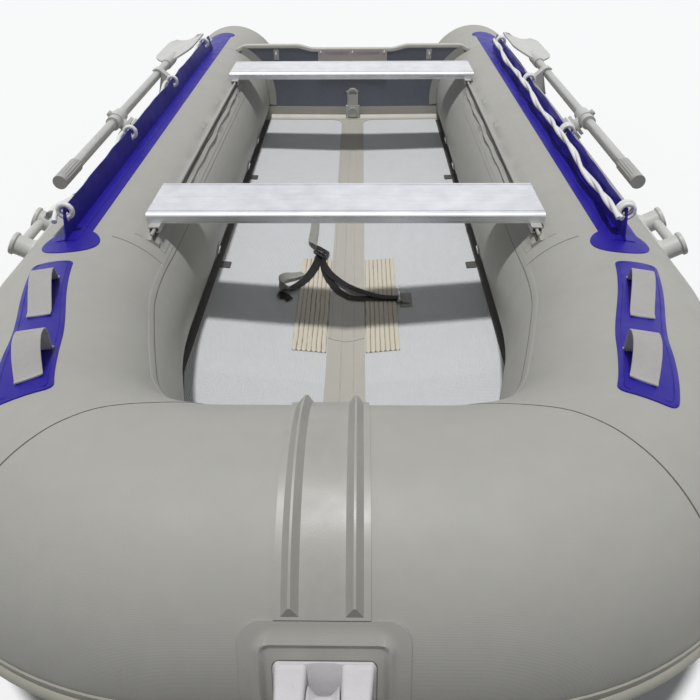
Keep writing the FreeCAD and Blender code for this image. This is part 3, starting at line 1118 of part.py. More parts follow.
# Bow strip: a moulded rubber strip with two ridges over the bow tube, turned about the tube's axis,
# its ridges cut to a slope at both ends.
bow_strip = new_body("BowStripBlank")
low_r, top_r = rt + sg, rt + sg + v("bow_strip_thick")
half_w = v("bow_strip_wide") / 2
strip_line = [(-half_w, low_r), (half_w, low_r), (half_w, top_r)]
for centre in (v("ridge_pitch") / 2, -v("ridge_pitch") / 2):
    strip_line += [(centre + v("ridge_foot") / 2, top_r), (centre + v("ridge_crest") / 2, top_r + v("ridge_tall")),
                   (centre - v("ridge_crest") / 2, top_r + v("ridge_tall")), (centre - v("ridge_foot") / 2, top_r)]
strip_line.append((-half_w, top_r))
turned(bow_strip, new_sketch(bow_strip, "XY_Plane", "BowStripProfile", closed(strip_line)), "H_Axis",
       "Sizes.bow_strip_low_deg - Sizes.bow_strip_top_deg")
# the profile's plane is turned to the strip's upper end, and the turn goes over the bow
up_end = Vector(0, -math.sin(ang("bow_strip_top_deg")), math.cos(ang("bow_strip_top_deg")))
bow_strip.Placement = Placement(Vector(v("bow_strip_x"), bow_axis.y, bow_axis.z),
                                Rotation(Vector(1, 0, 0), up_end, Vector(1, 0, 0).cross(up_end), "ZXY"))


def ridge_bevel(name, phi, away):
    # a wedge that slopes the ridges down to the strip at the angle phi; away is the end's own side
    tall = 2 * v("ridge_tall")
    long_ = tall / math.tan(ang("ridge_bevel_deg"))
    block = new_body(name)
    pad(block, new_sketch(block, "YZ_Plane", name + "Side",
                          closed([(0, 0), (away * v("ridge_tall"), 0), (away * v("ridge_tall"), tall),
                                  (-away * long_, tall)])), "2 * Sizes.bow_strip_wide", midplane=True)
    block.Placement = bow_radial_frame(phi, rt + sg + v("bow_strip_thick"))
    return block


low_bevel = ridge_bevel("LowBevel", ang("bow_strip_low_deg") - ang("ridge_short_deg"), -1)
top_bevel = ridge_bevel("TopBevel", ang("bow_strip_top_deg") + ang("ridge_short_deg"), 1)
bevelled = joined("Cut", "BowStripLow", bow_strip, low_bevel)
keep(joined("Cut", "bow_rub_strip", bevelled, top_bevel))

# Roller pad: a moulded fabric pad on the bow with rounded corners and a raised bead round the bracket.
pad_top, pad_low = ang("roller_pad_top_deg"), ang("roller_pad_low_deg")
pad_mid, pad_half_turn = (pad_top + pad_low) / 2, (pad_low - pad_top) / 2
pad_reach = rt * math.sin(pad_half_turn)
pad_frame = bow_radial_frame(pad_mid, rt)


def bow_shell(name, r_in, r_out):
    body = new_body(name)
    pad(body, new_sketch(body, "XY_Plane", name + "Section",
                         sector(r_in, r_out, pad_top - pad_half_turn, pad_low + pad_half_turn)),
        "2 * Sizes.roller_pad_wide", midplane=True)
    body.Placement = bow_frame(v("bow_strip_x"))
    return body


pad_sheet = joined("MultiCommon", "RollerPadSheet",
                   bow_shell("RollerPadShell", rt + sg, rt + sg + v("roller_pad_thick")),
                   flat_outline("RollerPadOutline", round_box(v("roller_pad_wide") / 2, -pad_reach, pad_reach,
                                                              v("roller_pad_corner")), pad_frame))
bead_reach = pad_reach - v("bead_inset")
bead_lines = round_box(v("bead_half_wide"), -bead_reach, bead_reach, v("bead_corner"))
bead_lines += round_box(v("bead_half_wide") - v("bead_wide"), -bead_reach + v("bead_wide"),
                        bead_reach - v("bead_wide"), v("bead_corner") / 2)
pad_bead = joined("MultiCommon", "RollerPadBead",
                  bow_shell("RollerBeadShell", rt + sg, rt + sg + v("roller_pad_thick") + v("bead_tall")),
                  flat_outline("RollerBeadOutline", bead_lines, pad_frame))
keep(joined("MultiFuse", "roller_pad", pad_sheet, pad_bead))

# Roller bracket: a white moulding with a foot that follows the pad, two tapered cheeks, a chute that
# leads the anchor line down to the roller, and a headed pin through both cheeks.
foot_r = rt + 2 * sg + v("roller_pad_thick")
bracket_f = bow_radial_frame(ang("roller_deg"), 0)
throat = v("roller_long") / 2 + v("roller_side_gap")
bh = v("bracket_half")


def bracket_cheek(side):
    # a block that tapers from the foot to the crest, its upright and crest edges rounded
    low, high = foot_r - v("overrun") / 2, foot_r + v("cheek_rise")
    sections = []
    for z, out, half in ((low, v("cheek_foot"), bh), (high, v("cheek_top"), v("cheek_top_half"))):
        near, far = side * throat, side * (throat + out)
        sections.append(wire([(near, -half, z), (far, -half, z), (far, half, z), (near, half, z)]))
    solid = Part.makeLoft(sections, True, True)
    crest = [e for e in solid.Edges if min(p.Z for p in e.Vertexes) > foot_r]
    upright = [e for e in solid.Edges if max(p.Z for p in e.Vertexes) - min(p.Z for p in e.Vertexes) > v("cheek_rise")]
    return solid.makeFillet(v("cheek_round"), crest + upright)


foot_half_x = throat + v("cheek_foot") + v("cheek_round")
foot_plate = joined("MultiCommon", "BracketFoot", bow_shell("BracketFootShell", foot_r, foot_r + v("bracket_foot_thick")),
                    flat_outline("BracketFootOutline",
                                 rounded([(-foot_half_x, -bh - v("cheek_round")), (foot_half_x, -bh - v("cheek_round")),
                                          (foot_half_x, bh + v("cheek_round")), (-foot_half_x, bh + v("cheek_round"))],
                                         v("bead_corner")), bow_radial_frame(ang("roller_deg"), rt)))
cheeks = joined("Compound", "BracketCheeks", shaped("CheekPort", bracket_cheek(1), bracket_f),
                shaped("CheekStarboard", bracket_cheek(-1), bracket_f))
chute = new_body("BracketChute")
chute_near = v("roller_rad") + v("roller_flange")
pad(chute, new_sketch(chute, "YZ_Plane", "ChuteSide",
                      closed([(chute_near, foot_r), (bh, foot_r), (bh, foot_r + v("chute_tall")),
                              (chute_near, foot_r + v("chute_low"))])), "2 * Sizes.cheek_foot", midplane=True)
chute.Placement = bracket_f
doc.recompute()
under_foot = cylinder("BracketSeat", "Sizes.tube_rad + 2 * Sizes.skin_gap + Sizes.roller_pad_thick",
                      "4 * Sizes.bracket_half",
                      bow_frame(v("bow_strip_x")).multiply(Placement(Vector(0, 0, -2 * bh), Rotation())))
cheeks_cut = joined("Cut", "BracketCheeksSeated", cheeks, under_foot)
roller_up = foot_r + v("roller_rise")
pin_half = throat + v("cheek_foot") + v("pin_head_tall")
pin_f = bracket_f.multiply(Placement(Vector(-pin_half, 0, roller_up), Rotation(Vector(0, 1, 0), 90)))
bracket_pin = cylinder("BracketPin", "Sizes.roller_pin_rad",
                       "Sizes.roller_long + 2 * (Sizes.roller_side_gap + Sizes.cheek_foot + Sizes.pin_head_tall)", pin_f)
pin_heads = [cylinder("PinHead%d" % i, "Sizes.pin_head_rad", "Sizes.cheek_foot / 2 + Sizes.pin_head_tall",
                      pin_f.multiply(Placement(Vector(0, 0, z), Rotation())))
             for i, z in enumerate((0, 2 * pin_half - v("cheek_foot") / 2 - v("pin_head_tall")))]
keep(joined("MultiFuse", "roller_bracket", foot_plate, cheeks_cut, chute, bracket_pin, *pin_heads))

roller = new_body("bow_roller")
half_l, hole = v("roller_long") / 2, v("roller_pin_rad") + v("pin_gap")
flange, core, rim = v("roller_flange"), v("roller_core_rad"), v("roller_rad")
turned(roller, new_sketch(roller, "XY_Plane", "RollerProfile",
                          [line((-half_l, hole), (half_l, hole)), line((half_l, hole), (half_l, rim)),
                           line((half_l, rim), (half_l - flange, rim)),
                           Part.Arc(Vector(half_l - flange, rim, 0), Vector(0, core, 0), Vector(flange - half_l, rim, 0)),
                           line((flange - half_l, rim), (-half_l, rim)), line((-half_l, rim), (-half_l, hole))]),
       "H_Axis")
roller.Placement = bow_radial_frame(ang("roller_deg"), roller_up)
keep(roller)

# Cargo rings: steel D rings held by a fabric tab on a round patch, low on the inner side of each
# tube. Their places are shares of the straight length of the tube.
CARGO_SHARES = [0.274, 0.385, 0.629, 0.777]
cargo_patches, cargo_rings = [], []
for i, share in enumerate(CARGO_SHARES):
    cargo_y = v("side_fore_y") + share * (v("floor_aft_y") - v("side_fore_y"))
    frame = radial_frame(cargo_y, ang("cargo_deg"), rt)
    half = v("cargo_patch_half")
    disc = skin_patch("CargoDisc%d" % i, side_frame(cargo_y + half), v("cargo_patch_thick"),
                      ang("cargo_deg") - math.pi / 12, ang("cargo_deg") + math.pi / 12, "2 * Sizes.cargo_patch_half",
                      flat_outline("CargoOutline%d" % i, [ring(half)], frame))
    tab_low = 2 * sg + v("cargo_patch_thick")
    tab = doc.addObject("Part::Box", "CargoTab%d" % i)
    tab.setExpression("Length", "Sizes.cargo_tab_tall")
    tab.setExpression("Width", "Sizes.cargo_tab_wide")
    tab.setExpression("Height", "Sizes.cargo_tab_thick")
    tab.Placement = frame.multiply(Placement(Vector(-v("cargo_tab_tall") / 2, -v("cargo_tab_wide") / 2, tab_low - sg),
                                             Rotation()))
    wire_up = tab_low - sg + v("cargo_tab_thick") / 2
    bar_f = frame.multiply(Placement(Vector(0, -v("cargo_ring_half"), wire_up), Rotation(Vector(1, 0, 0), -90)))
    bar_room = cylinder("CargoBarRoom%d" % i, "Sizes.cargo_wire + Sizes.skin_gap", "2 * Sizes.cargo_ring_half", bar_f)
    cargo_patches.append(disc)
    cargo_patches.append(joined("Cut", "CargoTabBored%d" % i, tab, bar_room))
    bar = cylinder("CargoBar%d" % i, "Sizes.cargo_wire", "2 * Sizes.cargo_ring_half", bar_f)
    bow_wire = shaped("CargoBow%d" % i, wire_ring(v("cargo_ring_half"), v("cargo_wire"), 180),
                      frame.multiply(Placement(Vector(0, 0, wire_up), Rotation())))
    cargo_rings.append(joined("MultiFuse", "CargoRing%d" % i, bar, bow_wire))
keep(mirrored_pair("ring_patches", joined("Compound", "PortRingPatches", *cargo_patches)))
keep(mirrored_pair("cargo_rings", joined("Compound", "PortCargoRings", *cargo_rings)))

# Tank strap: three lengths of webbing laid over the floor and pads, meeting at one place. The points
# are (across, along, height over the floor).
STRAP_RUNS = {
    "StrapAft": [(-103, -172, 2.9), (-116, -60, 0.6), (-130, 111, 0.6), (-138, 240, 0.6)],
    "StrapLeft": [(-112, -197, 5.1), (-125, -235, 5.1), (-160, -330, 5.1), (-206, -450, 5.1)],
    "StrapRight": [(-84, -206, 5.1), (-50, -240, 5.1), (0, -290, 5.1), (50, -338, 5.1), (100, -387, 5.1), (161, -447, 5.1)],
}


def laid_strap(points):
    half, thick = v("strap_wide") / 2, v("strap_thick")
    sections = []
    for i, (x, y, up) in enumerate(points):
        x0, y0_, u0 = points[max(i - 1, 0)]
        x1, y1_, u1 = points[min(i + 1, len(points) - 1)]
        long_ = math.hypot(x1 - x0, y1_ - y0_)
        nx, ny = -(y1_ - y0_) / long_ * half, (x1 - x0) / long_ * half
        a, b = (x + nx, y + ny), (x - nx, y - ny)
        za, zb = floor_z(*a) + up, floor_z(*b) + up
        sections.append(wire([(a[0], a[1], za), (b[0], b[1], zb), (b[0], b[1], zb + thick), (a[0], a[1], za + thick)]))
    return Part.makeLoft(sections, True, True)


keep(shaped("tank_strap", Part.makeCompound([laid_strap(run) for run in STRAP_RUNS.values()])))

doc.recompute()

problems = []
for obj in doc.Objects:
    if "Invalid" in obj.State or "Error" in obj.State:
        problems.append("%s is in state %s" % (obj.Label, obj.State))
for node in NODES:
    if not node.Shape.isValid() or not node.Shape.Solids:
        problems.append("%s is not a valid solid" % node.Label)
if problems:
    raise SystemExit("; ".join(problems))

os.makedirs("parts", exist_ok=True)
whole = None
triangles = 0
for node in NODES:
    node.Shape.exportStep(os.path.join("parts", node.Label + ".step"))
    box = node.Shape.BoundBox
    whole = box if whole is None else whole.united(box)
    count = len(node.Shape.tessellate(0.5)[1])
    triangles += count
    print("%-24s %2d solids %6d triangles" % (node.Label, len(node.Shape.Solids), count))
print("%d nodes, %d triangles; x %.1f..%.1f y %.1f..%.1f z %.1f..%.1f" % (
    len(NODES), triangles, whole.XMin, whole.XMax, whole.YMin, whole.YMax, whole.ZMin, whole.ZMax))
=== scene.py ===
import math
from math import cos, pi, radians, sin
import bpy
import bmesh
from mathutils import Matrix, Vector, noise


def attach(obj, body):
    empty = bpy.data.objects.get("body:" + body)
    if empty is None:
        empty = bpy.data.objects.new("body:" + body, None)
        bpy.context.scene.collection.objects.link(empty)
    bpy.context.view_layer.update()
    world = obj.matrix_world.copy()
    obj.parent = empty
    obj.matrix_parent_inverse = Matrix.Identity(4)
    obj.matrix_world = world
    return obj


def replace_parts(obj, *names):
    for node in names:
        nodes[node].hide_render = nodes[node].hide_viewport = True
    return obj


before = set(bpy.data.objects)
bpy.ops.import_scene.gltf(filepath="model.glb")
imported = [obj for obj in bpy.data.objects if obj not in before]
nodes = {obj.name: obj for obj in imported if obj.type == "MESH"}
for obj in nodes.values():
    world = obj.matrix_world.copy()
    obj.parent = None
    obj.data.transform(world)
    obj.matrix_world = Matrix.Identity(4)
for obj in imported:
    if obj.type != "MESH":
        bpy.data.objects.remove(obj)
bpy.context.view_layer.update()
scene = bpy.context.scene
scene.view_settings.view_transform = "Standard"

# Camera
# A square view from just ahead of the bow, at chest height, looking aft and down into the boat.
# The focal length is known in pixels of a picture 700 pixels wide.
picture_wide, focal_pixels, sensor_wide = 700, 670, 36
yaw, pitch, roll = (radians(a) for a in (-1.06, 36.562, -0.478))
ahead = Vector((sin(yaw) * cos(pitch), cos(yaw) * cos(pitch), -sin(pitch)))
right = Vector((cos(yaw), -sin(yaw), 0))
up = right.cross(ahead)
right, up = right * cos(roll) + up * sin(roll), up * cos(roll) - right * sin(roll)
camera = bpy.data.objects.new("camera", bpy.data.cameras.new("camera"))
camera.data.lens = focal_pixels * sensor_wide / picture_wide
camera.data.sensor_width = sensor_wide
camera.matrix_world = Matrix.Translation((0.0387, -2.1935, 1.169)) @ Matrix(
    (right, up, -ahead)).transposed().to_4x4()
scene.collection.objects.link(camera)
scene.camera = camera

# Studio
# A pale floor that runs far past the boat, one soft key light above and a little ahead, and an even
# pale world. Floor and world are white to the eye and in reflections.
floor_reach = 14
floor_mesh = bpy.data.meshes.new("studio_floor")
floor_mesh.from_pydata([(floor_reach * x, floor_reach * y, 0) for x, y in
                        ((-1, -1), (1, -1), (1, 1), (-1, 1))], [], [(0, 1, 2, 3)])
studio_floor = bpy.data.objects.new("studio_floor", floor_mesh)
scene.collection.objects.link(studio_floor)
floor_paint = bpy.data.materials.new("studio_floor")
floor_mesh.materials.append(floor_paint)
lamp = bpy.data.lights.new("light_above", "SUN")
lamp.energy = 2.45
lamp.angle = radians(5)
light = bpy.data.objects.new("light_above", lamp)
light.matrix_world = Vector((-0.06, -0.12, 1)).to_track_quat("Z", "Y").to_matrix().to_4x4()
scene.collection.objects.link(light)
world = bpy.data.worlds.new("studio")
scene.world = world


def shader_node(tree, kind, settings, links, operation=None, out=0):
    """An output of a new shader node, with its settings and the outputs that feed it."""
    node = tree.nodes.new("ShaderNode" + kind)
    if operation:
        node.operation = operation
    for socket, value in settings.items():
        node.inputs[socket].default_value = value
    for socket, source in links.items():
        tree.links.new(source, node.inputs[socket])
    return node.outputs[out]


def seen_white(owner, kind, seen_settings, light_settings, output):
    """White to the eye and in reflections, and plainer for the light that the place gives off."""
    owner.use_nodes = True
    tree = owner.node_tree
    ray = tree.nodes.new("ShaderNodeLightPath")
    seen = ray.outputs["Is Camera Ray"]
    for other in ("Is Glossy Ray", "Is Transmission Ray"):
        seen = shader_node(tree, "Math", {}, {0: seen, 1: ray.outputs[other]}, "MAXIMUM")
    choice = shader_node(tree, "MixShader", {}, {0: seen, 1: shader_node(tree, kind, light_settings, {}),
                                                 2: shader_node(tree, kind, seen_settings, {})})
    tree.links.new(choice, tree.nodes[output].inputs["Surface"])


seen_white(floor_paint, "BsdfDiffuse", {"Color": (0.97, 0.97, 0.97, 1)}, {"Color": (0.13, 0.13, 0.13, 1)},
           "Material Output")
seen_white(world, "Background", {"Color": (1, 1, 1, 1)}, {"Color": (0.95, 0.97, 1.0, 1), "Strength": 0.21},
           "World Output")


# Buoyancy tubes
# Two side tubes and a raised bow tube of coated grey cloth, inflated hard. The panels are welded with
# lapped seams: a band a little proud of the skin, with a thin dark line where its edge ends.
def tint(red, green, blue):
    """A colour as a screen shows it, in linear light."""
    return [((c / 255 + 0.055) / 1.055) ** 2.4 if c > 10 else c / 255 / 12.92 for c in (red, green, blue)]


def surface(name, colour, rough, tone=0.05, tone_size=0.3, grain=0.0012, grain_depth=0.00012, threads=None,
            thread_depth=0.0001, brushed=None, metal=0.0, sheen=0.0, gloss=0.5):
    """A finish with cloudy tone and uneven gloss, a fine grain, and where asked a thread pattern
    (directions and pitches) or brushed lines."""
    mat = bpy.data.materials.new(name)
    mat.use_nodes = True
    tree = mat.node_tree
    shader = tree.nodes["Principled BSDF"]
    for socket, value in (("Metallic", metal), ("Specular IOR Level", gloss), ("Sheen Weight", sheen)):
        shader.inputs[socket].default_value = value
    place = tree.nodes.new("ShaderNodeTexCoord").outputs["Object"]

    def cloud(size, detail=4.0, vector=place):
        return shader_node(tree, "TexNoise", {"Scale": 1 / size, "Detail": detail}, {"Vector": vector})

    def levels(value, low, high):
        return shader_node(tree, "MapRange", {"From Min": 0.3, "From Max": 0.7, "To Min": low,
                                              "To Max": high}, {"Value": value})

    def raised(height, depth, under):
        return shader_node(tree, "Bump", {"Distance": depth}, {"Height": height, **under})

    both_clouds = shader_node(tree, "Math", {}, {0: cloud(tone_size), 1: cloud(tone_size / 9, 6.0)}, "ADD")
    shades = tree.nodes.new("ShaderNodeValToRGB")
    for stop, position, share in zip(shades.color_ramp.elements, (0.34, 0.66), (1 - tone, 1 + tone)):
        stop.position = position
        stop.color = [min(1, c * share) for c in colour] + [1]
    tree.links.new(shader_node(tree, "Math", {1: 0.5}, {0: both_clouds}, "MULTIPLY"), shades.inputs["Fac"])
    tree.links.new(shades.outputs["Color"], shader.inputs["Base Color"])
    tree.links.new(levels(cloud(tone_size / 3), rough - 0.06, rough + 0.06), shader.inputs["Roughness"])
    normal = raised(cloud(grain, 2.0), grain_depth, {})
    if threads:
        rows = None
        for heading, spacing in threads:
            count = [2 * pi / spacing * c for c in Vector(heading).normalized()]
            along = shader_node(tree, "VectorMath", {1: count}, {0: place}, "DOT_PRODUCT", 1)
            wave = shader_node(tree, "Math", {}, {0: along}, "SINE")
            rows = shader_node(tree, "Math", {}, {0: rows, 1: wave}, "MULTIPLY") if rows else wave
        normal = raised(rows, thread_depth, {"Normal": normal})
    if brushed:
        stretched = shader_node(tree, "Mapping", {"Scale": brushed}, {"Vector": place})
        lines = cloud(0.004, 3.0, stretched)
        normal = raised(lines, 0.00008, {"Normal": normal})
        tree.links.new(levels(lines, rough - 0.1, rough + 0.12), shader.inputs["Roughness"])
    tree.links.new(normal, shader.inputs["Normal"])
    return mat


def dress(material, *names):
    """Give the solids of these names a finish."""
    for name in names:
        mesh = nodes[name].data
        mesh.materials.clear()
        mesh.materials.append(material)


CROSSED = (((1, 1, 0.4), 0.0022), ((1, -1, 0.4), 0.0022))
tube_cloth = surface("tube_cloth", tint(172, 171, 165), 0.5, tone=0.03, threads=CROSSED,
                     thread_depth=0.00005, gloss=0.22)
dress(tube_cloth, "tail_cones")

tube_radius, tube_x, bend_y = 0.222, 0.627, -0.85
bow_climb, run_turn, bow_turn = (radians(a) for a in (9, 15, 75))
bow_up = Vector((0, sin(bow_climb), cos(bow_climb)))
run_heading = Vector((-sin(run_turn), 0, 0)) + cos(run_turn) * Vector(
    (0, -cos(bow_climb), sin(bow_climb)))
lean = Vector((run_heading.x, 0, run_heading.z)).normalized()
spine = Vector((0, 1, 0)).cross(lean)
bend_radius, run_long, bow_radius = 0.2, 0.43, 0.35
bend_long = bend_radius * math.acos(-run_heading.y)
bow_long = bow_radius * bow_turn
bow_start = bend_long + run_long + bow_long


def tube_station(run):
    """Centre, outward and upward directions of the port tube at a distance ahead of its straight part."""
    centre, on = Vector((tube_x, bend_y - min(run, 0), tube_radius)), Vector((0, -1, 0))
    out, upward = Vector((1, 0, 0)), Vector((0, 0, 1))
    left = max(run, 0)
    for long_, radius, axis in ((bend_long, bend_radius, spine), (run_long, 0, None),
                                (bow_long, bow_radius, bow_up), (1, 0, None)):
        step = min(left, long_)
        left -= step
        if radius:
            turn = Matrix.Rotation(-step / radius, 3, axis)
            inward = on.cross(axis) * radius
            centre = centre + inward - turn @ inward
            on, out, upward = turn @ on, turn @ out, turn @ upward
        else:
            centre = centre + on * step
    return centre, out, upward


def on_tube(run, degrees, lift=0.0):
    """A point on the port tube's skin. The cloth rounds off the inner side of the bend."""
    a = radians(degrees)
    inner = min(1, max(0, -sin(a) - 0.05)) if -0.35 < run < 0.45 else 0
    spots = []
    for share in ((-1, -0.75, -0.5, -0.25, 0, 0.25, 0.5, 0.75, 1) if inner else (0,)):
        reach = 0.22 * inner * min(1, (run + 0.35) / 0.2, (0.45 - run) / 0.2)
        centre, out, upward = tube_station(run + share * reach)
        spots.append(centre + (out * sin(a) + upward * cos(a)) * (tube_radius + lift))
    return sum(spots, Vector()) / len(spots)


def through(points, each):
    """Points in even steps on a smooth curve through the given ones."""
    ends = [Vector(points[0])] + [Vector(p) for p in points] + [Vector(points[-1])]
    smooth = []
    for a, b, c, d in zip(ends, ends[1:], ends[2:], ends[3:]):
        for i in range(each):
            t = i / each
            smooth.append((b * 2 + (c - a) * t + (a * 2 - b * 5 + c * 4 - d) * t ** 2
                           + (b * 3 - a - c * 3 + d) * t ** 3) / 2)
    return smooth + [ends[-1]]


def loft(bm, loops, closed=False):
    """Skin closed loops of points in order, capped unless the last loop joins the first."""
    rings = [[bm.verts.new(p) for p in loop] for loop in loops]
    for near, far in zip(rings, rings[1:] + rings[:1] if closed else rings[1:]):
        for i, here in enumerate(near):
            j = (i + 1) % len(near)
            bm.faces.new((here, near[j], far[j], far[i]))
    if not closed:
        bm.faces.new(rings[0])
        bm.faces.new(rings[-1])


def heading_at(line, i, closed=False):
    """The direction of a line of points at one of them."""
    if closed:
        return (line[(i + 1) % len(line)] - line[i - 1]).normalized()
    return (line[min(i + 1, len(line) - 1)] - line[max(i - 1, 0)]).normalized()


def tube_tape(bm, line, wide, proud, shift=0.0, lift=0.0):
    """A low band with bevelled edges on the port tube, along a line of (run, degrees)."""
    steps = through([(run, radians(degrees) * tube_radius) for run, degrees in line], 8)
    loops = []
    for i, step in enumerate(steps):
        heading = heading_at(steps, i)
        across = Vector((-heading.y, heading.x)).normalized()
        loop = []
        for share, up_ in ((-1, -0.0006), (-1, 0.5 * proud), (-0.86, proud), (-0.3, proud), (0.3, proud),
                           (0.86, proud), (1, 0.5 * proud), (1, -0.0006), (0, -0.0008)):
            at = step + across * (share * wide / 2 + shift)
            loop.append(on_tube(at.x, math.degrees(at.y / tube_radius), lift + up_))
        loops.append(loop)
    loft(bm, loops)


def piece(name, bm, material, body="hull", both=False, flip=False, crisp=40):
    """An object of the mesh that rides on a body, on both sides of the boat or flipped to the other."""
    if flip:
        bmesh.ops.scale(bm, vec=(-1, 1, 1), verts=bm.verts)
    if both:
        bmesh.ops.mirror(bm, geom=bm.verts[:] + bm.edges[:] + bm.faces[:], axis="X", merge_dist=0)
    bmesh.ops.recalc_face_normals(bm, faces=bm.faces)
    mesh = bpy.data.meshes.new(name)
    bm.to_mesh(mesh)
    bm.free()
    mesh.polygons.foreach_set("use_smooth", [True] * len(mesh.polygons))
    mesh.set_sharp_from_angle(angle=radians(crisp))
    mesh.materials.append(material)
    made = bpy.data.objects.new(name, mesh)
    scene.collection.objects.link(made)
    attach(made, body)
    return made


skin, skin_sides, half_bow = bmesh.new(), 96, 0.16969
lengths = [-2.49 + 0.04 * i for i in range(53)] + [-0.37 + 0.01 * i for i in range(132)]
lengths += [bow_start + 0.02 * i for i in range(1, 9)]
middle = bow_start + half_bow
rings = []
for run in [r for r in lengths if r < middle - 0.005] + [middle]:
    rings.append([skin.verts.new(on_tube(run, 360 / skin_sides * i)) for i in range(skin_sides)])
for near, far in zip(rings, rings[1:]):
    for i in range(skin_sides):
        skin.faces.new((near[i], near[i - 1], far[i - 1], far[i]))
skin.faces.new(rings[0])
bmesh.ops.mirror(skin, geom=skin.verts[:] + skin.edges[:] + skin.faces[:], axis="X", merge_dist=0.0004)
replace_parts(piece("tube_skins", skin, tube_cloth), "port_tube", "starboard_tube", "bow_tube")

# The lap round the end of the forward run, the one along the inner side, and one near the tail.
ring_line = [(0.716, 110), (0.722, 80), (0.729, 55), (0.737, 32), (0.745, 18), (0.754, 8), (0.773, -4),
             (0.801, -13), (0.845, -24), (0.9, -40), (0.94, -55)]
long_line = [(-0.6, -57.5), (-0.25, -57.5), (-0.08, -56.5), (0.08, -55.5), (0.2, -55), (0.35, -55.5),
             (0.46, -57), (0.55, -59), (0.7, -61), (0.93, -60)]
laps, seams = bmesh.new(), bmesh.new()
lap_proud, lap_shift = 0.0007, 0.0085
tube_tape(laps, ring_line, 0.015, lap_proud, shift=-lap_shift)
tube_tape(laps, long_line, 0.016, lap_proud, shift=lap_shift)
tube_tape(laps, [(-2.02, degrees) for degrees in range(-80, 101, 20)], 0.024, lap_proud)
for line in (ring_line, long_line):
    tube_tape(seams, line, 0.0014, 0.0006)
piece("seam_laps", laps, tube_cloth, both=True)
seam_line = surface("seam_line", tint(88, 86, 80), 0.6)
piece("seam_lines", seams, seam_line, both=True)

# Rub strakes and tail cones
# Moulded rubber strakes welded low round the outside of the tubes, with a ribbed face, and the turned
# rubber caps that close the tail cones.
rub_rubber = surface("rub_rubber", tint(150, 148, 138), 0.55, tone=0.07, grain=0.002, grain_depth=0.0002)
dress(rub_rubber, "tail_caps", "side_rub_strakes", "bow_rub_strake", "keel_guard")

# Floor
# High pressure floor in two coated panels over a keel, with a fine diamond texture, a dark strip where it
# meets the tubes that is partly dark edge fabric and partly painted shade in the gap, a smooth band over
# the joint, and the coated bottom below.
# Each row of it is y, half its width, and its height at the side and in the middle.
FLOOR_ROWS = [(-1.5, 0.26, 0.19, 0.17), (-1.29, 0.39, 0.158, 0.118), (-0.85, 0.48, 0.116, 0.058),
              (1.136, 0.48, 0.124, 0.12)]


def floor_at(x, y, lift=0.0):
    """A point on the floor, which dips from its sides to the keel."""
    for (y0, half0, side0, mid0), (y1, half1, side1, mid1) in zip(FLOOR_ROWS, FLOOR_ROWS[1:]):
        if y <= y1:
            break
    t = (y - y0) / (y1 - y0)
    half, side, mid = half0 + (half1 - half0) * t, side0 + (side1 - side0) * t, mid0 + (mid1 - mid0) * t
    return Vector((x, y, mid + (side - mid) * abs(x) / half + lift))


DIAMONDS = (((0.9, 1, 0), 0.0062), ((0.9, -1, 0), 0.0062))
floor_cloth = surface("floor_cloth", tint(208, 210, 211), 0.5, tone=0.025, threads=DIAMONDS,
                      thread_depth=0.0007)
band_cloth = surface("band_cloth", tint(176, 173, 164), 0.42, tone=0.03, threads=CROSSED,
                     thread_depth=0.00004)
dress(floor_cloth, "floor_panels")
dress(band_cloth, "floor_centre_band", "transom_foot_tape")
dress(surface("bottom_cloth", tint(142, 141, 134), 0.45, tone=0.04, threads=CROSSED), "hull_bottom")

axis_line = [tube_station(i * 0.01 - 2.1)[0] for i in range(310)]


def floor_meeting(y):
    """Where the floor meets the port tube at this y, and the tube's axis there."""
    near, far = 0.05, 0.47
    for _ in range(14):
        x = (near + far) / 2
        at = floor_at(x, y)
        nearest = min(axis_line, key=lambda p: (p - at).length_squared)
        near, far = (near, x) if (nearest - at).length < tube_radius else (x, far)
    return at, nearest


# The dark strip along the floor's edge is partly a dark edge fabric and partly painted shade of the gap
# against the tube.
strip, loops = bmesh.new(), []
for i in range(127):
    y = -1.395 + i * 0.0198
    at, axis_point = floor_meeting(y)
    spoke = (at - axis_point).normalized()
    upright = (Vector((0, 0, 1)) - spoke * spoke.z).normalized()
    climb = [axis_point + (spoke * cos(a) + upright * sin(a)) * (tube_radius + 0.001)
             for a in (0.11, 0.075, 0.03)]
    flange = [floor_at(at.x - inward, y, lift) for inward, lift in
              ((0.006, 0.0016), (0.024, 0.0014), (0.026, -0.001), (0, -0.004))]
    loops.append([at + upright * 0.0216 - spoke * 0.001] + climb + flange)
loft(strip, loops)
edge_fabric_and_shade = surface("edge_fabric_and_shade", tint(72, 70, 66), 0.6, tone=0.08)
piece("floor_edge_strips", strip, edge_fabric_and_shade, both=True)


def flat_patch(bm, outline, thick, lift=0.0):
    """A thin piece lying on the floor inside an outline of (x, y) points."""
    top = [floor_at(x, y, lift + thick) for x, y in outline]
    under = [floor_at(x, y, lift - 0.0006) for x, y in outline]
    loft(bm, [under, top])


def box_outline(x, y, half_x, half_y, corner, steps=5):
    """A rounded rectangle as (x, y) points."""
    points = []
    for quarter, (sx, sy) in enumerate(((1, 1), (-1, 1), (-1, -1), (1, -1))):
        for i in range(steps + 1):
            a = pi / 2 * (quarter + i / steps)
            points.append((x + sx * (half_x - corner) + corner * cos(a),
                           y + sy * (half_y - corner) + corner * sin(a)))
    return points


# Small dark patches at the floor's edges are painted shadows beneath the ring patches, in the edge strip's
# dark colour.
shadow_patches = bmesh.new()
for y in (0.395, -0.31):
    flat_patch(shadow_patches, box_outline(0.392, y, 0.016, 0.019, 0.004), 0.0028)
piece("floor_painted_shadows", shadow_patches, edge_fabric_and_shade, both=True)

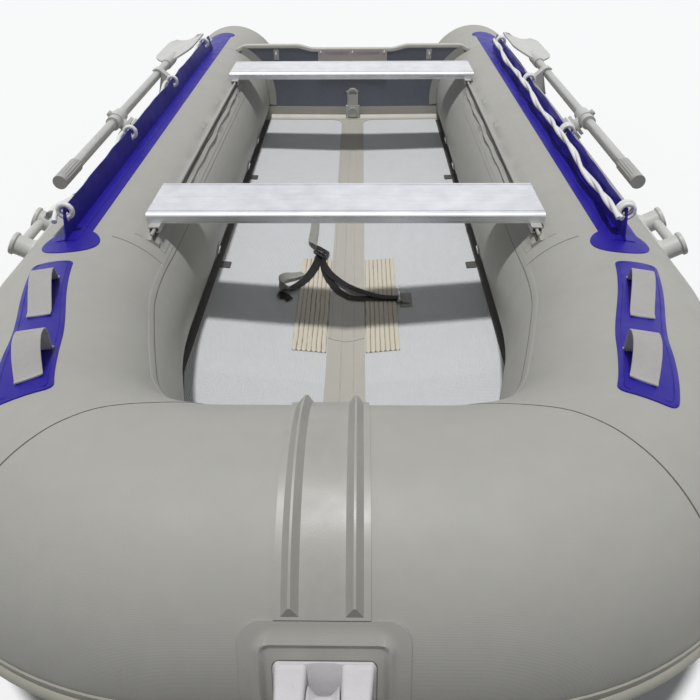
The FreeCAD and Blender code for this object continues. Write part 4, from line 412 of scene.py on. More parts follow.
# Centre band folds
# The band's coated cloth keeps the folds it was packed with, has one lapped joint, and widens in
# round curves where it is welded to the tape along the transom's foot.
folds, joint_line, flares = bmesh.new(), bmesh.new(), bmesh.new()
for x_fore, x_aft, y_fore, y_aft in ((-0.0125, -0.0105, -1.38, 1.1), (0.0215, 0.02, -1.1, 1.1),
                                     (-0.044, -0.0435, -0.66, 1.1)):
    fold_line = []
    for i in range(61):
        t = i / 60
        x = x_fore + (x_aft - x_fore) * t + 0.0007 * sin(9 * t + x_fore * 300)
        fold_line.append((x, y_fore + (y_aft - y_fore) * t))
    loft(folds, [[floor_at(x + dx, y, 0.0022 + dz) for dx, dz in
                  ((-0.0022, -0.0006), (-0.0007, 0.0007), (0, 0.001), (0.0007, 0.0007), (0.0022, -0.0006))]
                 for x, y in fold_line])
piece("band_folds", folds, band_cloth)
loft(joint_line, [[floor_at(x, -0.6585 - 0.0105 * cos(x * 30) + dy, 0.0023 + dz) for dy, dz in
                   ((-0.001, -0.0004), (-0.0006, 0.0004), (0.0006, 0.0004), (0.001, -0.0004))]
                  for x in [i * 0.00515 - 0.0515 for i in range(21)]])
piece("band_joint", joint_line, seam_line)
flare_x, flare_y, flare_radius = 0.052, 1.0575, 0.055
curve = [(flare_x + flare_radius * (1 - cos(a)), flare_y + flare_radius * sin(a)) for a in
         [pi / 2 * i / 12 for i in range(13)]]
flat_patch(flares, [(0.046, 1.1125), (0.046, flare_y)] + curve, 0.0022)
piece("band_flares", flares, band_cloth, both=True)

# Foot pads
# Two beige rubber pads glued beside the band, each of seven soft ribs with rounded ends. The ribs wander a
# little, and the bed between them is a darker beige: painted shade in the grooves.
pad_rubber = surface("pad_rubber", tint(204, 197, 181), 0.6, tone=0.04, tone_size=0.06, grain=0.0016)
pad_bed, pad_ribs = bmesh.new(), bmesh.new()
rib_pitch, rib_half, rib_tall, rib_long, rib_round = 0.01345, 0.0061, 0.0034, 0.497, 0.007
for side in (1, -1):
    wander = 0.0012 if side > 0 else 0.0018
    flat_patch(pad_bed, [(side * x, y) for x, y in ((0.0546, -0.724), (0.148, -0.724), (0.148, -0.232),
                                                    (0.0546, -0.232))], 0.0018)
    for rib in range(7):
        loops = []
        for i in range(83):
            t = i / 82
            y = -0.7265 + rib_long * t
            end = max(0, 1 - min(t, 1 - t) * rib_long / rib_round)
            end = min(1, math.sqrt(max(0, 1 - end ** 2)) + 0.06)
            bent = (noise.noise(Vector((rib * 0.35, y * 16, side * 3)))
                    + 0.5 * noise.noise(Vector((rib, y * 45, side * 5))))
            x = 0.0613 + rib * rib_pitch + wander * bent * min(1, 30 * t * (1 - t))
            loops.append([floor_at(side * (x + dx * (rib_half * end)), y, 0.0012 + dz * rib_tall * end)
                          for dx, dz in ((-1, 0), (-0.96, 0.55), (-0.6, 0.93), (0, 1), (0.6, 0.93),
                                         (0.96, 0.55), (1, 0))])
        loft(pad_ribs, loops)
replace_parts(piece("pad_ribs", pad_ribs, pad_rubber), "floor_ribbed_pads")
# The bed under the ribs is coloured darker than the ribs as painted shade in the grooves.
piece("pad_beds", pad_bed, surface("groove_painted_shade", tint(128, 120, 104), 0.8, tone=0.15, tone_size=0.05))

# Transom
# A blue-grey painted plywood board with a pale trim folded over its top edge, taped to the tubes
# and floor, a clamp plate on each face held with screws, a drain and two ring eyes.
board_paint = surface("board_paint", tint(106, 110, 121), 0.42, tone=0.09, tone_size=0.12, grain=0.003,
                      grain_depth=0.0002)
dress(board_paint, "transom_board")
dress(surface("plate_plastic", tint(192, 184, 181), 0.5, tone=0.05, tone_size=0.08), "motor_plate_inner",
      "motor_plate_outer")
dress(surface("drain_plastic", tint(186, 186, 183), 0.35, tone=0.05, tone_size=0.05), "drain_housing",
      "drain_plug")
dress(tube_cloth, "transom_side_tapes")
steel = surface("steel", (0.6, 0.6, 0.61), 0.24, tone=0.04, tone_size=0.01, metal=1.0)
dress(steel, "transom_eyes", "cargo_rings")

trim_line = [(-0.5472, 0.43), (-0.506, 0.4525), (-0.252, 0.4525), (-0.189, 0.4365), (0.189, 0.4365),
             (0.252, 0.4525), (0.506, 0.4525), (0.5472, 0.43)]
trim_corner, rounded = 0.014, []
for before, corner, after in zip(trim_line, trim_line[1:], trim_line[2:]):
    b, c, a = Vector(before), Vector(corner), Vector(after)
    inner, outer = c + (b - c).normalized() * trim_corner, c + (a - c).normalized() * trim_corner
    rounded += [inner * (1 - t) ** 2 + c * 2 * t * (1 - t) + outer * t ** 2
                for t in (0, 0.25, 0.5, 0.75, 1)]
rounded = [Vector(trim_line[0])] + rounded + [Vector(trim_line[-1])]
board_y = 1.164
trim, loops = bmesh.new(), []
for i, at in enumerate(rounded):
    heading = heading_at(rounded, i)
    above = Vector((-heading.y, heading.x))
    loops.append([(at.x + above.x * rise, board_y + out, at.y + above.y * rise) for out, rise in
                  ((-0.0142, -0.012), (-0.016, -0.012), (-0.0162, -0.001), (-0.0148, 0.0012),
                   (-0.008, 0.0018), (0.008, 0.0018), (0.0148, 0.0012), (0.0162, -0.001),
                   (0.016, -0.012), (0.0142, -0.012), (0.0142, -0.0006), (-0.0142, -0.0006))])
loft(trim, loops)
piece("transom_trim", trim, surface("pale_trim", tint(188, 186, 178), 0.45, tone=0.05, tone_size=0.08))


def round_angles(count):
    return [2 * pi * i / count for i in range(count)]


def turned(bm, centre, axis, outline, sides=20):
    """A turned shape: (radius, height) points along an axis from a centre."""
    axis = Vector(axis).normalized()
    first = axis.orthogonal().normalized()
    second = axis.cross(first)
    loft(bm, [[Vector(centre) + axis * height + (first * cos(a) + second * sin(a)) * radius
               for a in round_angles(sides)] for radius, height in outline])


screws = bmesh.new()
SCREW = [(0.0052, -0.001), (0.0052, 0.0006), (0.0044, 0.0017), (0.0026, 0.0024), (0.0018, 0.0018),
         (0.0012, 0.0012)]
for x, z in ((-0.148, 0.424), (0, 0.424), (0.148, 0.424), (-0.148, 0.33), (0.148, 0.33)):
    turned(screws, (x, 1.144, z), (0, -1, 0), SCREW)
for x, z in ((-0.026, 0.25), (0.026, 0.25), (-0.026, 0.1285), (0.026, 0.1285)):
    turned(screws, (x, 1.1322, z), (0, -1, 0), [(r * 0.6, h) for r, h in SCREW], 14)
piece("transom_screws", screws, steel)

# Benches
# Two hollow aluminium planks with brushed faces and shallow grooves, on plastic slides that run
# along the roped seams of the seat flaps.
bench_metal = surface("bench_metal", (0.66, 0.67, 0.71), 0.3, tone=0.14, tone_size=0.5, metal=1.0,
                      brushed=(0.012, 1.0, 1.0))
dress(bench_metal, "front_bench", "aft_bench")
slide_plastic = surface("slide_plastic", tint(172, 172, 168), 0.45, tone=0.05, tone_size=0.05)
dress(slide_plastic, "front_bench_slides", "aft_bench_slides")

# Seat flaps
# Folded coated cloth welded to a base tape on each tube. Its seam holds a rope that the bench slides
# run on, and where no bench holds it straight, the cloth below puckers.
dress(tube_cloth, "seat_flap_bases")
flap, rope_seam, shade, walls = bmesh.new(), bmesh.new(), bmesh.new(), []
base_top, base_under = 0.2249, 0.9935
for i in range(161):
    y = -0.7 + i * 0.01
    loose = min(1, max(0, (y + 0.42) / 0.1)) * min(1, max(0, (0.66 - y) / 0.1))
    loose = max(loose, min(1, max(0, (-0.67 - y) / 0.03)))
    inside, outside, along = [0.006 * loose * noise.noise(Vector((y * often, seed, 0)))
                              for often, seed in ((7, 1), (11, 4), (5, 8))]
    seat = [(base_top * sin(a), base_top * cos(a)) for a in
            map(radians, (-51, -46, -34, -29))]
    sway = along * 0.08
    walls.append([(tube_x + x, y, tube_radius + z) for x, z in [
        seat[0], seat[1], (-0.1605 - inside - 0.003 * loose, 0.166 + outside), (-0.153 - inside, 0.1745),
        (-0.15 + sway, 0.18), (-0.1498 + sway, 0.1865), (-0.1482 + sway, 0.1865),
        (-0.148 + sway, 0.18), (-0.1415 - outside, 0.179 - abs(along) * 0.5),
        (-0.132 - outside + 0.003 * loose, 0.183 - inside), seat[2], seat[3]] + [
            (x * base_under, z * base_under) for x, z in reversed(seat)]])
loft(flap, walls)
turned(rope_seam, (0.478, -0.7, 0.413), (0, 1, 0), [(0.003, 0), (0.0043, 0.002)] +
       [(0.0043, 0.02 * i) for i in range(1, 80)] + [(0.0043, 1.598), (0.003, 1.6)], 14)
# A dark strip under the rope seam on the inner side paints the shadow gap beneath the flap's rolled edge,
# and waves with the pucker.
loft(shade, [[(low[0] - 0.0008, low[1], low[2] - 0.0004), (low[0] - 0.0012, low[1], low[2] + 0.0046),
              (high[0] - 0.0004, low[1], high[2] + 0.003), (high[0], low[1], high[2] - 0.002)]
             for low, high in [wall[3:5] for wall in walls]])
piece("seat_flap_painted_shadow", shade, surface("painted_flap_shadow", tint(84, 82, 77), 0.7, tone=0.1), both=True)
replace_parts(piece("seat_flap_cloth", flap, tube_cloth, both=True), "seat_flaps")
piece("seat_flap_ropes", rope_seam, tube_cloth, both=True)

# Blue strips, line flaps and lifelines
# A blue strip along the top of each side tube carries a standing flap of the same cloth. A braided
# rope, doubled on the port side, runs through four holes in the flap that are bound with rope rings.
blue_cloth = surface("blue_cloth", tint(33, 20, 142), 0.44, tone=0.06, tone_size=0.15, threads=CROSSED,
                     thread_depth=0.00005, gloss=0.22)
dress(blue_cloth, "blue_strips")
hole_ys = (-0.741, -0.187, 0.376, 0.997)
flap_lean, flap_tall = radians(6), 0.062
hole_low, hole_middle, hole_half, hole_radius = 0.022, 0.038, 0.016, 0.0108
flap_out = Vector((cos(flap_lean), 0, -sin(flap_lean)))
flap_up = Vector((sin(flap_lean), 0, cos(flap_lean)))
flap_foot = Vector((tube_x, 0, tube_radius)) + flap_up * (tube_radius + 0.0022)


def on_flap(along, rise):
    """A point on the standing flap, which waves between its holes."""
    sag = min(1, min(abs(along - y) for y in hole_ys) / 0.12)
    wave = (0.0065 * noise.noise(Vector((along * 4.2, 0.3, 0)))
            + 0.003 * noise.noise(Vector((along * 13, rise * 20, 2))))
    loose = wave * sag * (max(rise, 0) / flap_tall) ** 1.5
    return flap_foot + Vector((0, along, 0)) + flap_up * rise + flap_out * loose


flap_fore, flap_aft = -0.795, 1.14
stations = [flap_fore + 0.0075 * i for i in range(259)]
for y in hole_ys:
    stations = [s for s in stations if abs(s - y) > 0.019]
    stations += [y - hole_half + 2 * hole_half * i / 6 for i in range(7)]
stations.sort()
heights = [-0.001, 0.01] + [hole_low + 2 * hole_half * i / 6 for i in range(7)] + [flap_tall]
fin, grid = bmesh.new(), {}
for s in stations:
    ramp = min(1, max(0.08, (s - flap_fore) / 0.045), max(0.08, (flap_aft - s) / 0.045))
    for h in heights:
        grid[s, h] = fin.verts.new(on_flap(s, h * ramp))
for s0, s1 in zip(stations, stations[1:]):
    for h0, h1 in zip(heights, heights[1:]):
        holed = any(abs((s0 + s1) / 2 - y) < hole_half for y in hole_ys) and hole_low <= h0 < 0.053
        if not holed:
            fin.faces.new((grid[s0, h0], grid[s1, h0], grid[s1, h1], grid[s0, h1]))
for y in hole_ys:
    ss = [s for s in stations if abs(s - y) < 0.0165]
    hs = heights[2:9]
    frame_points = ([(s, hs[0]) for s in ss[:-1]] + [(ss[-1], h) for h in hs[:-1]]
                    + [(s, hs[-1]) for s in ss[:0:-1]] + [(ss[0], h) for h in hs[:0:-1]])
    rim = []
    for s, h in frame_points:
        a = math.atan2(h - hole_middle, s - y)
        rim.append(fin.verts.new(on_flap(y + hole_radius * cos(a),
                                         hole_middle + hole_radius * sin(a))))
    for i, spot in enumerate(frame_points):
        j = (i + 1) % len(rim)
        fin.faces.new((grid[spot], grid[frame_points[j]], rim[j], rim[i]))
bmesh.ops.recalc_face_normals(fin, faces=fin.faces)
bmesh.ops.solidify(fin, geom=fin.faces[:], thickness=0.0024)
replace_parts(piece("line_flap_cloth", fin, blue_cloth, both=True), "line_flaps")
flanges = bmesh.new()
tube_tape(flanges, [(-1.985, 6), (-1.2, 6), (-0.5, 6), (-0.06, 6)], 0.052, 0.0012, lift=0.0021)
piece("line_flap_feet", flanges, blue_cloth, both=True)

rope_cloth = surface("rope_cloth", tint(240, 240, 238), 0.8, tone=0.07, tone_size=0.02, grain=0.0008,
                     grain_depth=0.0003, sheen=0.3)
whipping_tape = surface("whipping_tape", tint(120, 118, 114), 0.6)
# The rope's course in millimetres: along the boat, beside the flap's foot and above it.
LIFELINE = [(-768, 22, 39), (-738, 29.3, 50), (-690, 27, 46), (-640, 21, 36), (-585, 17, 28),
            (-525, 20, 24), (-465, 24, 26), (-405, 22, 30), (-345, 17, 34), (-285, 18, 40), (-235, 25, 47),
            (-187, 29.3, 51), (-135, 25, 44), (-75, 18, 34), (-10, 16, 27), (60, 20, 24), (130, 24, 27),
            (200, 21, 33), (265, 18, 40), (325, 25, 47), (375, 29.3, 51), (430, 25, 44), (500, 17, 34),
            (580, 16, 26), (660, 20, 23), (740, 24, 25), (820, 21, 31), (890, 18, 39), (945, 25, 47),
            (997, 29.3, 51), (1032, 27, 45)]
LIFELINE_TAIL = [(-752, 43.2, 45), (-722, 42.6, 49), (-684, 40.2, 45), (-636, 34.6, 36), (-588, 31, 29)]


def spline_points(points, spacing):
    """Evenly spaced points on the smooth line that a rope or strap takes through its control points."""
    line = bpy.data.curves.new("line", "CURVE")
    line.dimensions = "3D"
    line.resolution_u = 24
    run = line.splines.new("NURBS")
    run.points.add(len(points) - 1)
    for spot, p in zip(run.points, points):
        spot.co = (*p, 1)
    run.use_endpoint_u = True
    run.order_u = 3
    carrier = bpy.data.objects.new("line", line)
    mesh = bpy.data.meshes.new_from_object(carrier)
    fine = [v.co.copy() for v in mesh.vertices]
    bpy.data.objects.remove(carrier)
    bpy.data.meshes.remove(mesh)
    even_line, gone = [fine[0]], 0.0
    for a, b in zip(fine, fine[1:]):
        step = (b - a).length
        while gone + step >= spacing * len(even_line):
            even_line.append(a.lerp(b, (spacing * len(even_line) - gone) / step))
        gone += step
    return even_line


def cord(bm, line, radius, closed=False, sides=20, strands=5):
    """A round cord along a line. Two families of strands, if any, cross over and under each other."""
    side = (line[1] - line[0]).orthogonal().normalized()
    loops = []
    for i, at in enumerate(line):
        heading = heading_at(line, i, closed)
        side = (side - heading * side.dot(heading)).normalized()
        other = heading.cross(side)
        twist = pi * i / 4
        loops.append([at + (side * cos(a) + other * sin(a)) * radius
                      * (0.95 + 0.055 * sin(strands * a + twist) * sin(strands * a - twist)
                         if strands else 1) for a in round_angles(sides)])
    loft(bm, loops, closed)


ROPE_SIDES = {
    "port": (-flap_out, 0.0056, (LIFELINE, LIFELINE), ((-0.0058, 0.017), (0.0058, 0.018))),
    "starboard": (flap_out, 0.0065, (LIFELINE, LIFELINE_TAIL), ((0, 0.016),)),
}
for side, (facing, rope_radius, runs, rope_rings) in ROPE_SIDES.items():
    rope, whips = bmesh.new(), bmesh.new()
    doubled = side == "port"
    for turn, points in enumerate(runs):
        placed = []
        for i, (y, x, z) in enumerate(points):
            at = flap_foot + Vector((0, y / 1000, 0)) + facing * (x / 1000) + flap_up * (z / 1000)
            if doubled:
                a = pi * turn + 1.1 * i
                at += facing * (0.0042 * cos(a) - 0.003)
                at += flap_up * (0.0042 * sin(a) + (51 - z) / 2400)
            placed.append(at)
        cord(rope, spline_points(placed, 0.0022), rope_radius)
    for y in hole_ys:
        for beside, ring_radius in rope_rings:
            centre = flap_foot + Vector((0, y + beside, 0)) + flap_up * (0.0368 + ring_radius)
            cord(rope, [centre + (flap_out * cos(a) + flap_up * sin(a)) * ring_radius
                        for a in round_angles(44)], rope_radius, closed=True)
    for along, out, rise in ((-0.745, 0.0365, 0.0495), (-0.6, 0.0315, 0.031), (1.026, 0.0272, 0.0462)):
        if not doubled or along > 0:
            spot = flap_foot + Vector((0, along, 0)) + facing * out + flap_up * rise
            turned(whips, spot, (0, 1, -0.2), [(0.0066, -0.009), (0.0073, -0.008), (0.0073, 0.008),
                                               (0.0066, 0.009)])
    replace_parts(piece(side + "_rope", rope, rope_cloth, flip=not doubled, crisp=80), side + "_lifeline")
    piece(side + "_rope_whippings", whips, whipping_tape, flip=not doubled)

# Handle patches
# Tapered blue patches welded on the forward runs, with a line pressed in along the edge, and on
# each two wide webbing loops that stand up steeply at their aft end and are sewn down at both.
webbing = surface("webbing", tint(192, 190, 187), 0.75, tone=0.05, tone_size=0.04, sheen=0.2,
                  threads=(((0.26, 0.95, -0.15), 0.0016), ((0.95, -0.26, 0), 0.0028)), thread_depth=0.0004)
patch_inner = ((0.087, -6.0), (0.672, -2.8))
patch_outer = ((0.075, 17.0), (0.648, 19.0))
patch_long = 0.58


def patch_edges(along):
    """The patch's inner and outer edge at a distance along it, in the tube's flat measure, with the
    waist that draws both edges inboard."""
    share = along / patch_long
    drawn_in = 7.8 * sin(pi * share ** 2)
    return [Vector((a[0] + (b[0] - a[0]) * share,
                    radians(a[1] + (b[1] - a[1]) * share - drawn_in) * tube_radius))
            for a, b in (patch_inner, patch_outer)]


def on_patch(along, side, rise):
    inner, outer = patch_edges(along)
    at = inner + (outer - inner).normalized() * side
    return on_tube(at.x, math.degrees(at.y / tube_radius), rise)


def rounded_spans(start, stop, sides_at, corner, middle=24, steps=5):
    """Stations from start to stop with the low and high side at each, drawn in round at the ends."""
    quarter = [pi / 2 * i / steps for i in range(steps + 1)]
    near = [(start + corner * (1 - cos(a)), corner * (1 - sin(a))) for a in quarter]
    far = [(stop - corner * (1 - cos(a)), corner * (1 - sin(a))) for a in reversed(quarter)]
    long_ = stop - start - 2 * corner
    inside = [(start + corner + long_ * i / middle, 0) for i in range(1, middle)]
    return [(t, sides_at(t)[0] + inset, sides_at(t)[1] - inset) for t, inset in near + inside + far]


def laid(bm, place, spans, rise_at, edge=0.0012, count=12):
    """A sheet with soft edges, laid over stations (along, low side, high side)."""
    loops = []
    for t, low, high in spans:
        inner = [low + edge + (high - low - 2 * edge) * i / count for i in range(count + 1)]
        top = [place(t, s, rise_at(t, s)) for s in inner]
        loops.append([place(t, low, -0.0006), place(t, low, 0.6 * rise_at(t, low))] + top
                     + [place(t, high, 0.6 * rise_at(t, high)), place(t, high, -0.0006)]
                     + [place(t, s, -0.0008) for s in reversed(inner[1:-1])])
    loft(bm, loops)


patch, pressed, loops_cloth, sewing = bmesh.new(), bmesh.new(), bmesh.new(), bmesh.new()
whole, line_inset = [rounded_spans(inset, patch_long - inset, lambda t, inset=inset: (
    inset, (patch_edges(t)[1] - patch_edges(t)[0]).length - inset), corner, 40)
                     for inset, corner in ((0, 0.014), (0.009, 0.008))]
laid(patch, on_patch, whole, lambda t, s: 0.0021)
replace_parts(piece("handle_patch_cloth", patch, blue_cloth, both=True), "handle_patches")
border = [(t, low) for t, low, high in line_inset] + [(t, high) for t, low, high in reversed(line_inset)]
loft(pressed, [[on_patch(t + d, s + d, 0.0019 + rise) for d, rise in
                ((-0.0008, 0), (0, 0.001), (0.0008, 0))] for t, s in border], closed=True)
piece("handle_patch_lines", pressed, blue_cloth, both=True)


def stitch_row(bm, first, last, normal):
    """A row of short raised stitches from one point to another."""
    pitch_, long_ = 0.004, 0.0026
    gap = last - first
    on = gap.normalized()
    across = on.cross(normal).normalized()
    for i in range(int(gap.length / pitch_)):
        start = first + on * (pitch_ * i + (pitch_ - long_) / 2)
        loft(bm, [[start + on * (long_ * t) + across * (x * 0.0004) + normal * (z * swell) for x, z in
                   ((-1, -0.0004), (-0.7, 0.0003), (0, 0.0005), (0.7, 0.0003), (1, -0.0004))]
                  for t, swell in ((0, 0.2), (0.25, 1), (0.75, 1), (1, 0.2))])


def loop_frame(along):
    """Where a loop's webbing stands on the tube at a distance along it: its angle and its side."""
    degrees = fore_angle - turn_aft * (1 - along / loop_long)
    ends = [on_tube(loop_start + along, degrees + turn) for turn in (6, -6)]
    return degrees, (ends[0] - ends[1]).normalized()


# A loop's side view as shares of its length and rise, and half of its section with ribbed top.
LOOP_LINE = [(0, 0), (0.055, 0), (0.085, 0.1), (0.115, 0.46), (0.155, 0.82), (0.22, 0.98), (0.33, 1.0),
             (0.47, 0.9), (0.64, 0.6), (0.8, 0.24), (0.9, 0.04), (0.94, 0), (1, 0)]
LOOP_SECTION = [(-0.0212, 0), (-0.0207, 0.001)]
LOOP_SECTION += [(0.0018 * k, 0.0013 if k % 2 else 0.0009) for k in range(-11, 12)]
LOOP_SECTION += [(0.0207, 0.001), (0.0212, 0), (0.0207, -0.001), (0.01, -0.0012), (-0.01, -0.0012),
                 (-0.0207, -0.001)]
tube_wide = 0.448
for loop_start, loop_long, loop_rise, fore_angle, turn_aft in ((0.19, 0.198, 0.034, 1.4, -2.0),
                                                               (0.525, 0.102, 0.044, 3.0, 7.0)):
    line = through([(a * loop_long, rise * loop_rise) for a, rise in LOOP_LINE], 5)
    frames = [loop_frame(a) for a, rise in line]
    centres = [on_tube(loop_start + a, degrees, 0.0036 + rise) for (a, rise), (degrees, side) in
               zip(line, frames)]
    rows = []
    for i, (centre, (degrees, side)) in enumerate(zip(centres, frames)):
        lifted = side.cross(heading_at(centres, i)).normalized()
        lifted = lifted if lifted.z > 0 or lifted.y < 0 else -lifted
        lay = 1 - 0.8 * min(1, line[i][1] / 0.02)
        rows.append([centre + side * x + lifted * (z - lay * x * x / tube_wide) for x, z in LOOP_SECTION])
    loft(loops_cloth, rows)
    for a in (0.004, 0.01, loop_long - 0.01, loop_long - 0.004):
        degrees, side = loop_frame(a)
        here = on_tube(loop_start + a, degrees, 0.0049)
        normal = (here - tube_station(loop_start + a)[0]).normalized()
        edge, middle, other = [here + side * x - normal * (x * x / tube_wide) for x in (-0.019, 0, 0.019)]
        stitch_row(sewing, edge, middle, normal)
        stitch_row(sewing, middle, other, normal)
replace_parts(piece("webbing_loops", loops_cloth, webbing, both=True), "webbing_handles")
piece("webbing_stitches", sewing, surface("thread", tint(215, 214, 208), 0.7), both=True)

# Lifting handles, oars, oarlocks and holders
# Moulded pale plastic for the handles, locks, holders, blades and grips, and anodised tubes for the
# oar shafts. The round patches below them are the tube's own cloth.
pale_plastic = surface("pale_plastic", tint(198, 198, 194), 0.4, tone=0.04, tone_size=0.06, grain=0.0015,
                       grain_depth=0.00015)
dress(pale_plastic, "lifting_handles", "oarlocks", "port_oar_collar", "starboard_oar_collar", "oar_holders")
oar_slope = Vector((-0.0238, 1, 0.0255)).normalized()
oarlock_at = Vector((0.8305, 0.205, 0.4117))
blade_root, blade_long, blade_angle = oarlock_at + oar_slope * 0.72, 0.415, radians(15)
blade_across = Vector((cos(blade_angle), 0, -sin(blade_angle)))
blade_across = (blade_across - oar_slope * oar_slope.dot(blade_across)).normalized()
blade_face = blade_across.cross(oar_slope)
blade_face = blade_face if blade_face.z > 0 else -blade_face
BLADE_TOP = (-1, -0.985, -0.93, -0.8, -0.6, -0.4, -0.25, -0.15, -0.07, 0, 0.07, 0.15, 0.25, 0.4, 0.6, 0.8,
             0.93, 0.985, 1)
BLADE_UNDER = (0.985, 0.8, 0.5, 0.25, 0.1, 0, -0.1, -0.25, -0.5, -0.8, -0.985)
for side in ("port", "starboard"):
    blade, rows = bmesh.new(), []
    for i in range(49):
        along = blade_long * i / 48
        swell = min(1, max(0, along - 0.012) / 0.15)
        near_tip = max(0, along - 0.383) / 0.032
        half = 0.019 + 0.075 * sin(pi / 2 * swell) ** 1.3
        half -= 0.034 * (1 - math.sqrt(max(0, 1 - near_tip ** 2)))
        rib = 0.017 * max(0, 1 - along / 0.33) ** 0.8
        rim = 0.0035 if along < 0.4 else 0.003
        loop = []
        for u in BLADE_TOP + BLADE_UNDER:
            on_top = len(loop) < len(BLADE_TOP)
            ridge = rib * math.exp(-(u * half / 0.016) ** 2)
            beaded = rim * (0.25 if abs(u) == 1 else 1) + 0.0012 * max(0, 1 - abs(abs(u) - 0.95) / 0.05)
            loop.append((u, 0.012 * u * u * swell + (beaded + ridge if on_top else -rim - ridge)))
        rows.append([blade_root + oar_slope * (along - 0.03 * (1 - u) / 2 * (along / blade_long) ** 6)
                     + blade_across * (u * half) + blade_face * z for u, z in loop])
    loft(blade, rows)
    turned(blade, blade_root, oar_slope, [(0.0176, -0.024), (0.0205, -0.0235), (0.022, -0.021),
                                          (0.022, 0.07), (0.0205, 0.085), (0.014, 0.1)], 28)
    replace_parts(piece(side + "_blade", blade, pale_plastic, side + "_oar", flip=side == "starboard"),
                side + "_oar_blade")
grip_plastic = surface("grip_plastic", tint(176, 175, 172), 0.6, tone=0.05, tone_size=0.04, grain=0.0012,
                       grain_depth=0.0003)
dress(grip_plastic, "port_oar_grip", "starboard_oar_grip")
shaft_metal = surface("shaft_metal", (0.5, 0.5, 0.49), 0.42, tone=0.06, tone_size=0.1, metal=0.75,
                      brushed=(1.0, 0.02, 1.0))
dress(shaft_metal, "port_oar_shaft", "starboard_oar_shaft")
dress(tube_cloth, "oar_patches", "ring_patches")

# Bow strip, roller pad, bracket and roller
# A moulded rubber strip with two ridges guards the bow where the anchor line runs. Below it a pad
# with a raised bead carries a white plastic bracket and the roller.
strip_rubber = surface("strip_rubber", tint(164, 163, 157), 0.42, tone=0.05, tone_size=0.15, grain=0.0016,
                       grain_depth=0.00015)
dress(strip_rubber, "bow_rub_strip")
pad_skin = surface("pad_skin", tint(160, 159, 153), 0.5, tone=0.04, tone_size=0.2, threads=CROSSED,
                   thread_depth=0.00005)
fitting_x, fitting_angle, fitting_radius = -0.0015, radians(78), 0.2256
bow_axis = tube_station(bow_start)[0]


def on_bow(climb, side, rise):
    """A point on the bow by its climb above the roller, its offset to port, and its rise over the pad."""
    a = fitting_angle - climb / fitting_radius
    return Vector((fitting_x + side, bow_axis.y - sin(a) * (fitting_radius + rise),
                   bow_axis.z + cos(a) * (fitting_radius + rise)))


pad_thick = 0.003


def pad_rise(climb, side):
    """The pad is thin, with a soft bead in a rounded rectangle round the bracket."""
    corner = 0.014
    over = Vector((abs(side) - 0.0765 + corner, abs(climb + 0.0035) - 0.0695 + corner))
    gap = Vector((max(over.x, 0), max(over.y, 0))).length + min(max(over.x, over.y), 0) - corner
    return pad_thick + 0.0062 * math.exp(-(gap / 0.005) ** 2)


pad_mesh, pad_gap, bracket, wheel = bmesh.new(), bmesh.new(), bmesh.new(), bmesh.new()
laid(pad_mesh, lambda t, s, rise: on_bow(t, s, rise - pad_thick),
     rounded_spans(-0.0868, 0.0892, lambda t: (-0.102, 0.102), 0.026, 70), pad_rise, count=84)
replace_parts(piece("roller_pad_skin", pad_mesh, pad_skin), "roller_pad")
laid(pad_gap, on_bow, rounded_spans(-0.0532, 0.0412, lambda t: (-0.0618, 0.0618), 0.0095),
     lambda t, s: 0.0006)
piece("bracket_joint", pad_gap, seam_line)
laid(bracket, on_bow, rounded_spans(-0.052, 0.04, lambda t: (-0.0606, 0.0606), 0.009, 30),
     lambda t, s: 0.003 + 0.0022 * min(1, abs(s) / 0.02) ** 3, edge=0.0016, count=48)
# The bracket's two blocks, as (rise, inset of the outline) from the foot to the rounded top.
block_tall = 0.0628
BLOCK_STEPS = [(0, -0.0015), (0.0055, -0.0015), (0.0085, -0.0006), (0.012, 0), (0.03, 0), (0.052, 0),
               (0.0575, 0.0006), (0.0605, 0.0022), (0.0622, 0.0048), (block_tall, 0.0085)]
for hand in (1, -1):
    rows = []
    for rise, inset in BLOCK_STEPS:
        drawn = rise / block_tall
        outer, upper, lower = 0.059 - 0.0065 * drawn, 0.0385 - 0.008 * drawn, -0.05 + 0.015 * drawn
        middle = (outer + 0.0202) / 2
        outline = box_outline(middle, (upper + lower) / 2, outer - middle - max(inset, 0),
                              (upper - lower) / 2 - inset, 0.005)
        rows.append([on_bow(v, hand * u, rise) for u, v in outline])
    loft(bracket, rows)
axle = on_bow(0, 0, 0.042)
turned(bracket, axle, (1, 0, 0), [(0.005, -0.054), (0.005, 0.054)], 20)
for hand in (1, -1):
    turned(bracket, axle, (hand, 0, 0), [(0.009, 0.05), (0.009, 0.0575), (0.0078, 0.059),
                                         (0.004, 0.0596)], 24)
bracket_plastic = surface("bracket_plastic", tint(208, 206, 208), 0.28, tone=0.03, tone_size=0.05,
                          grain=0.002)
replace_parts(piece("roller_bracket_moulding", bracket, bracket_plastic), "roller_bracket")
WHEEL = [(0.0058, 0.019), (0.033, 0.019), (0.0345, 0.0185), (0.035, 0.0177), (0.0345, 0.0168),
         (0.031, 0.0145), (0.0262, 0.0096), (0.0248, 0.007), (0.0243, 0.003)]
WHEEL += [(radius, -x) for radius, x in reversed(WHEEL)]
loft(wheel, [[axle + Vector((x, radius * cos(a), radius * sin(a))) for a in round_angles(48)]
             for radius, x in WHEEL], closed=True)
roller_rubber = surface("roller_rubber", tint(214, 212, 214), 0.36, tone=0.04, tone_size=0.03)
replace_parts(piece("bow_roller_wheel", wheel, roller_rubber, "roller"), "bow_roller")

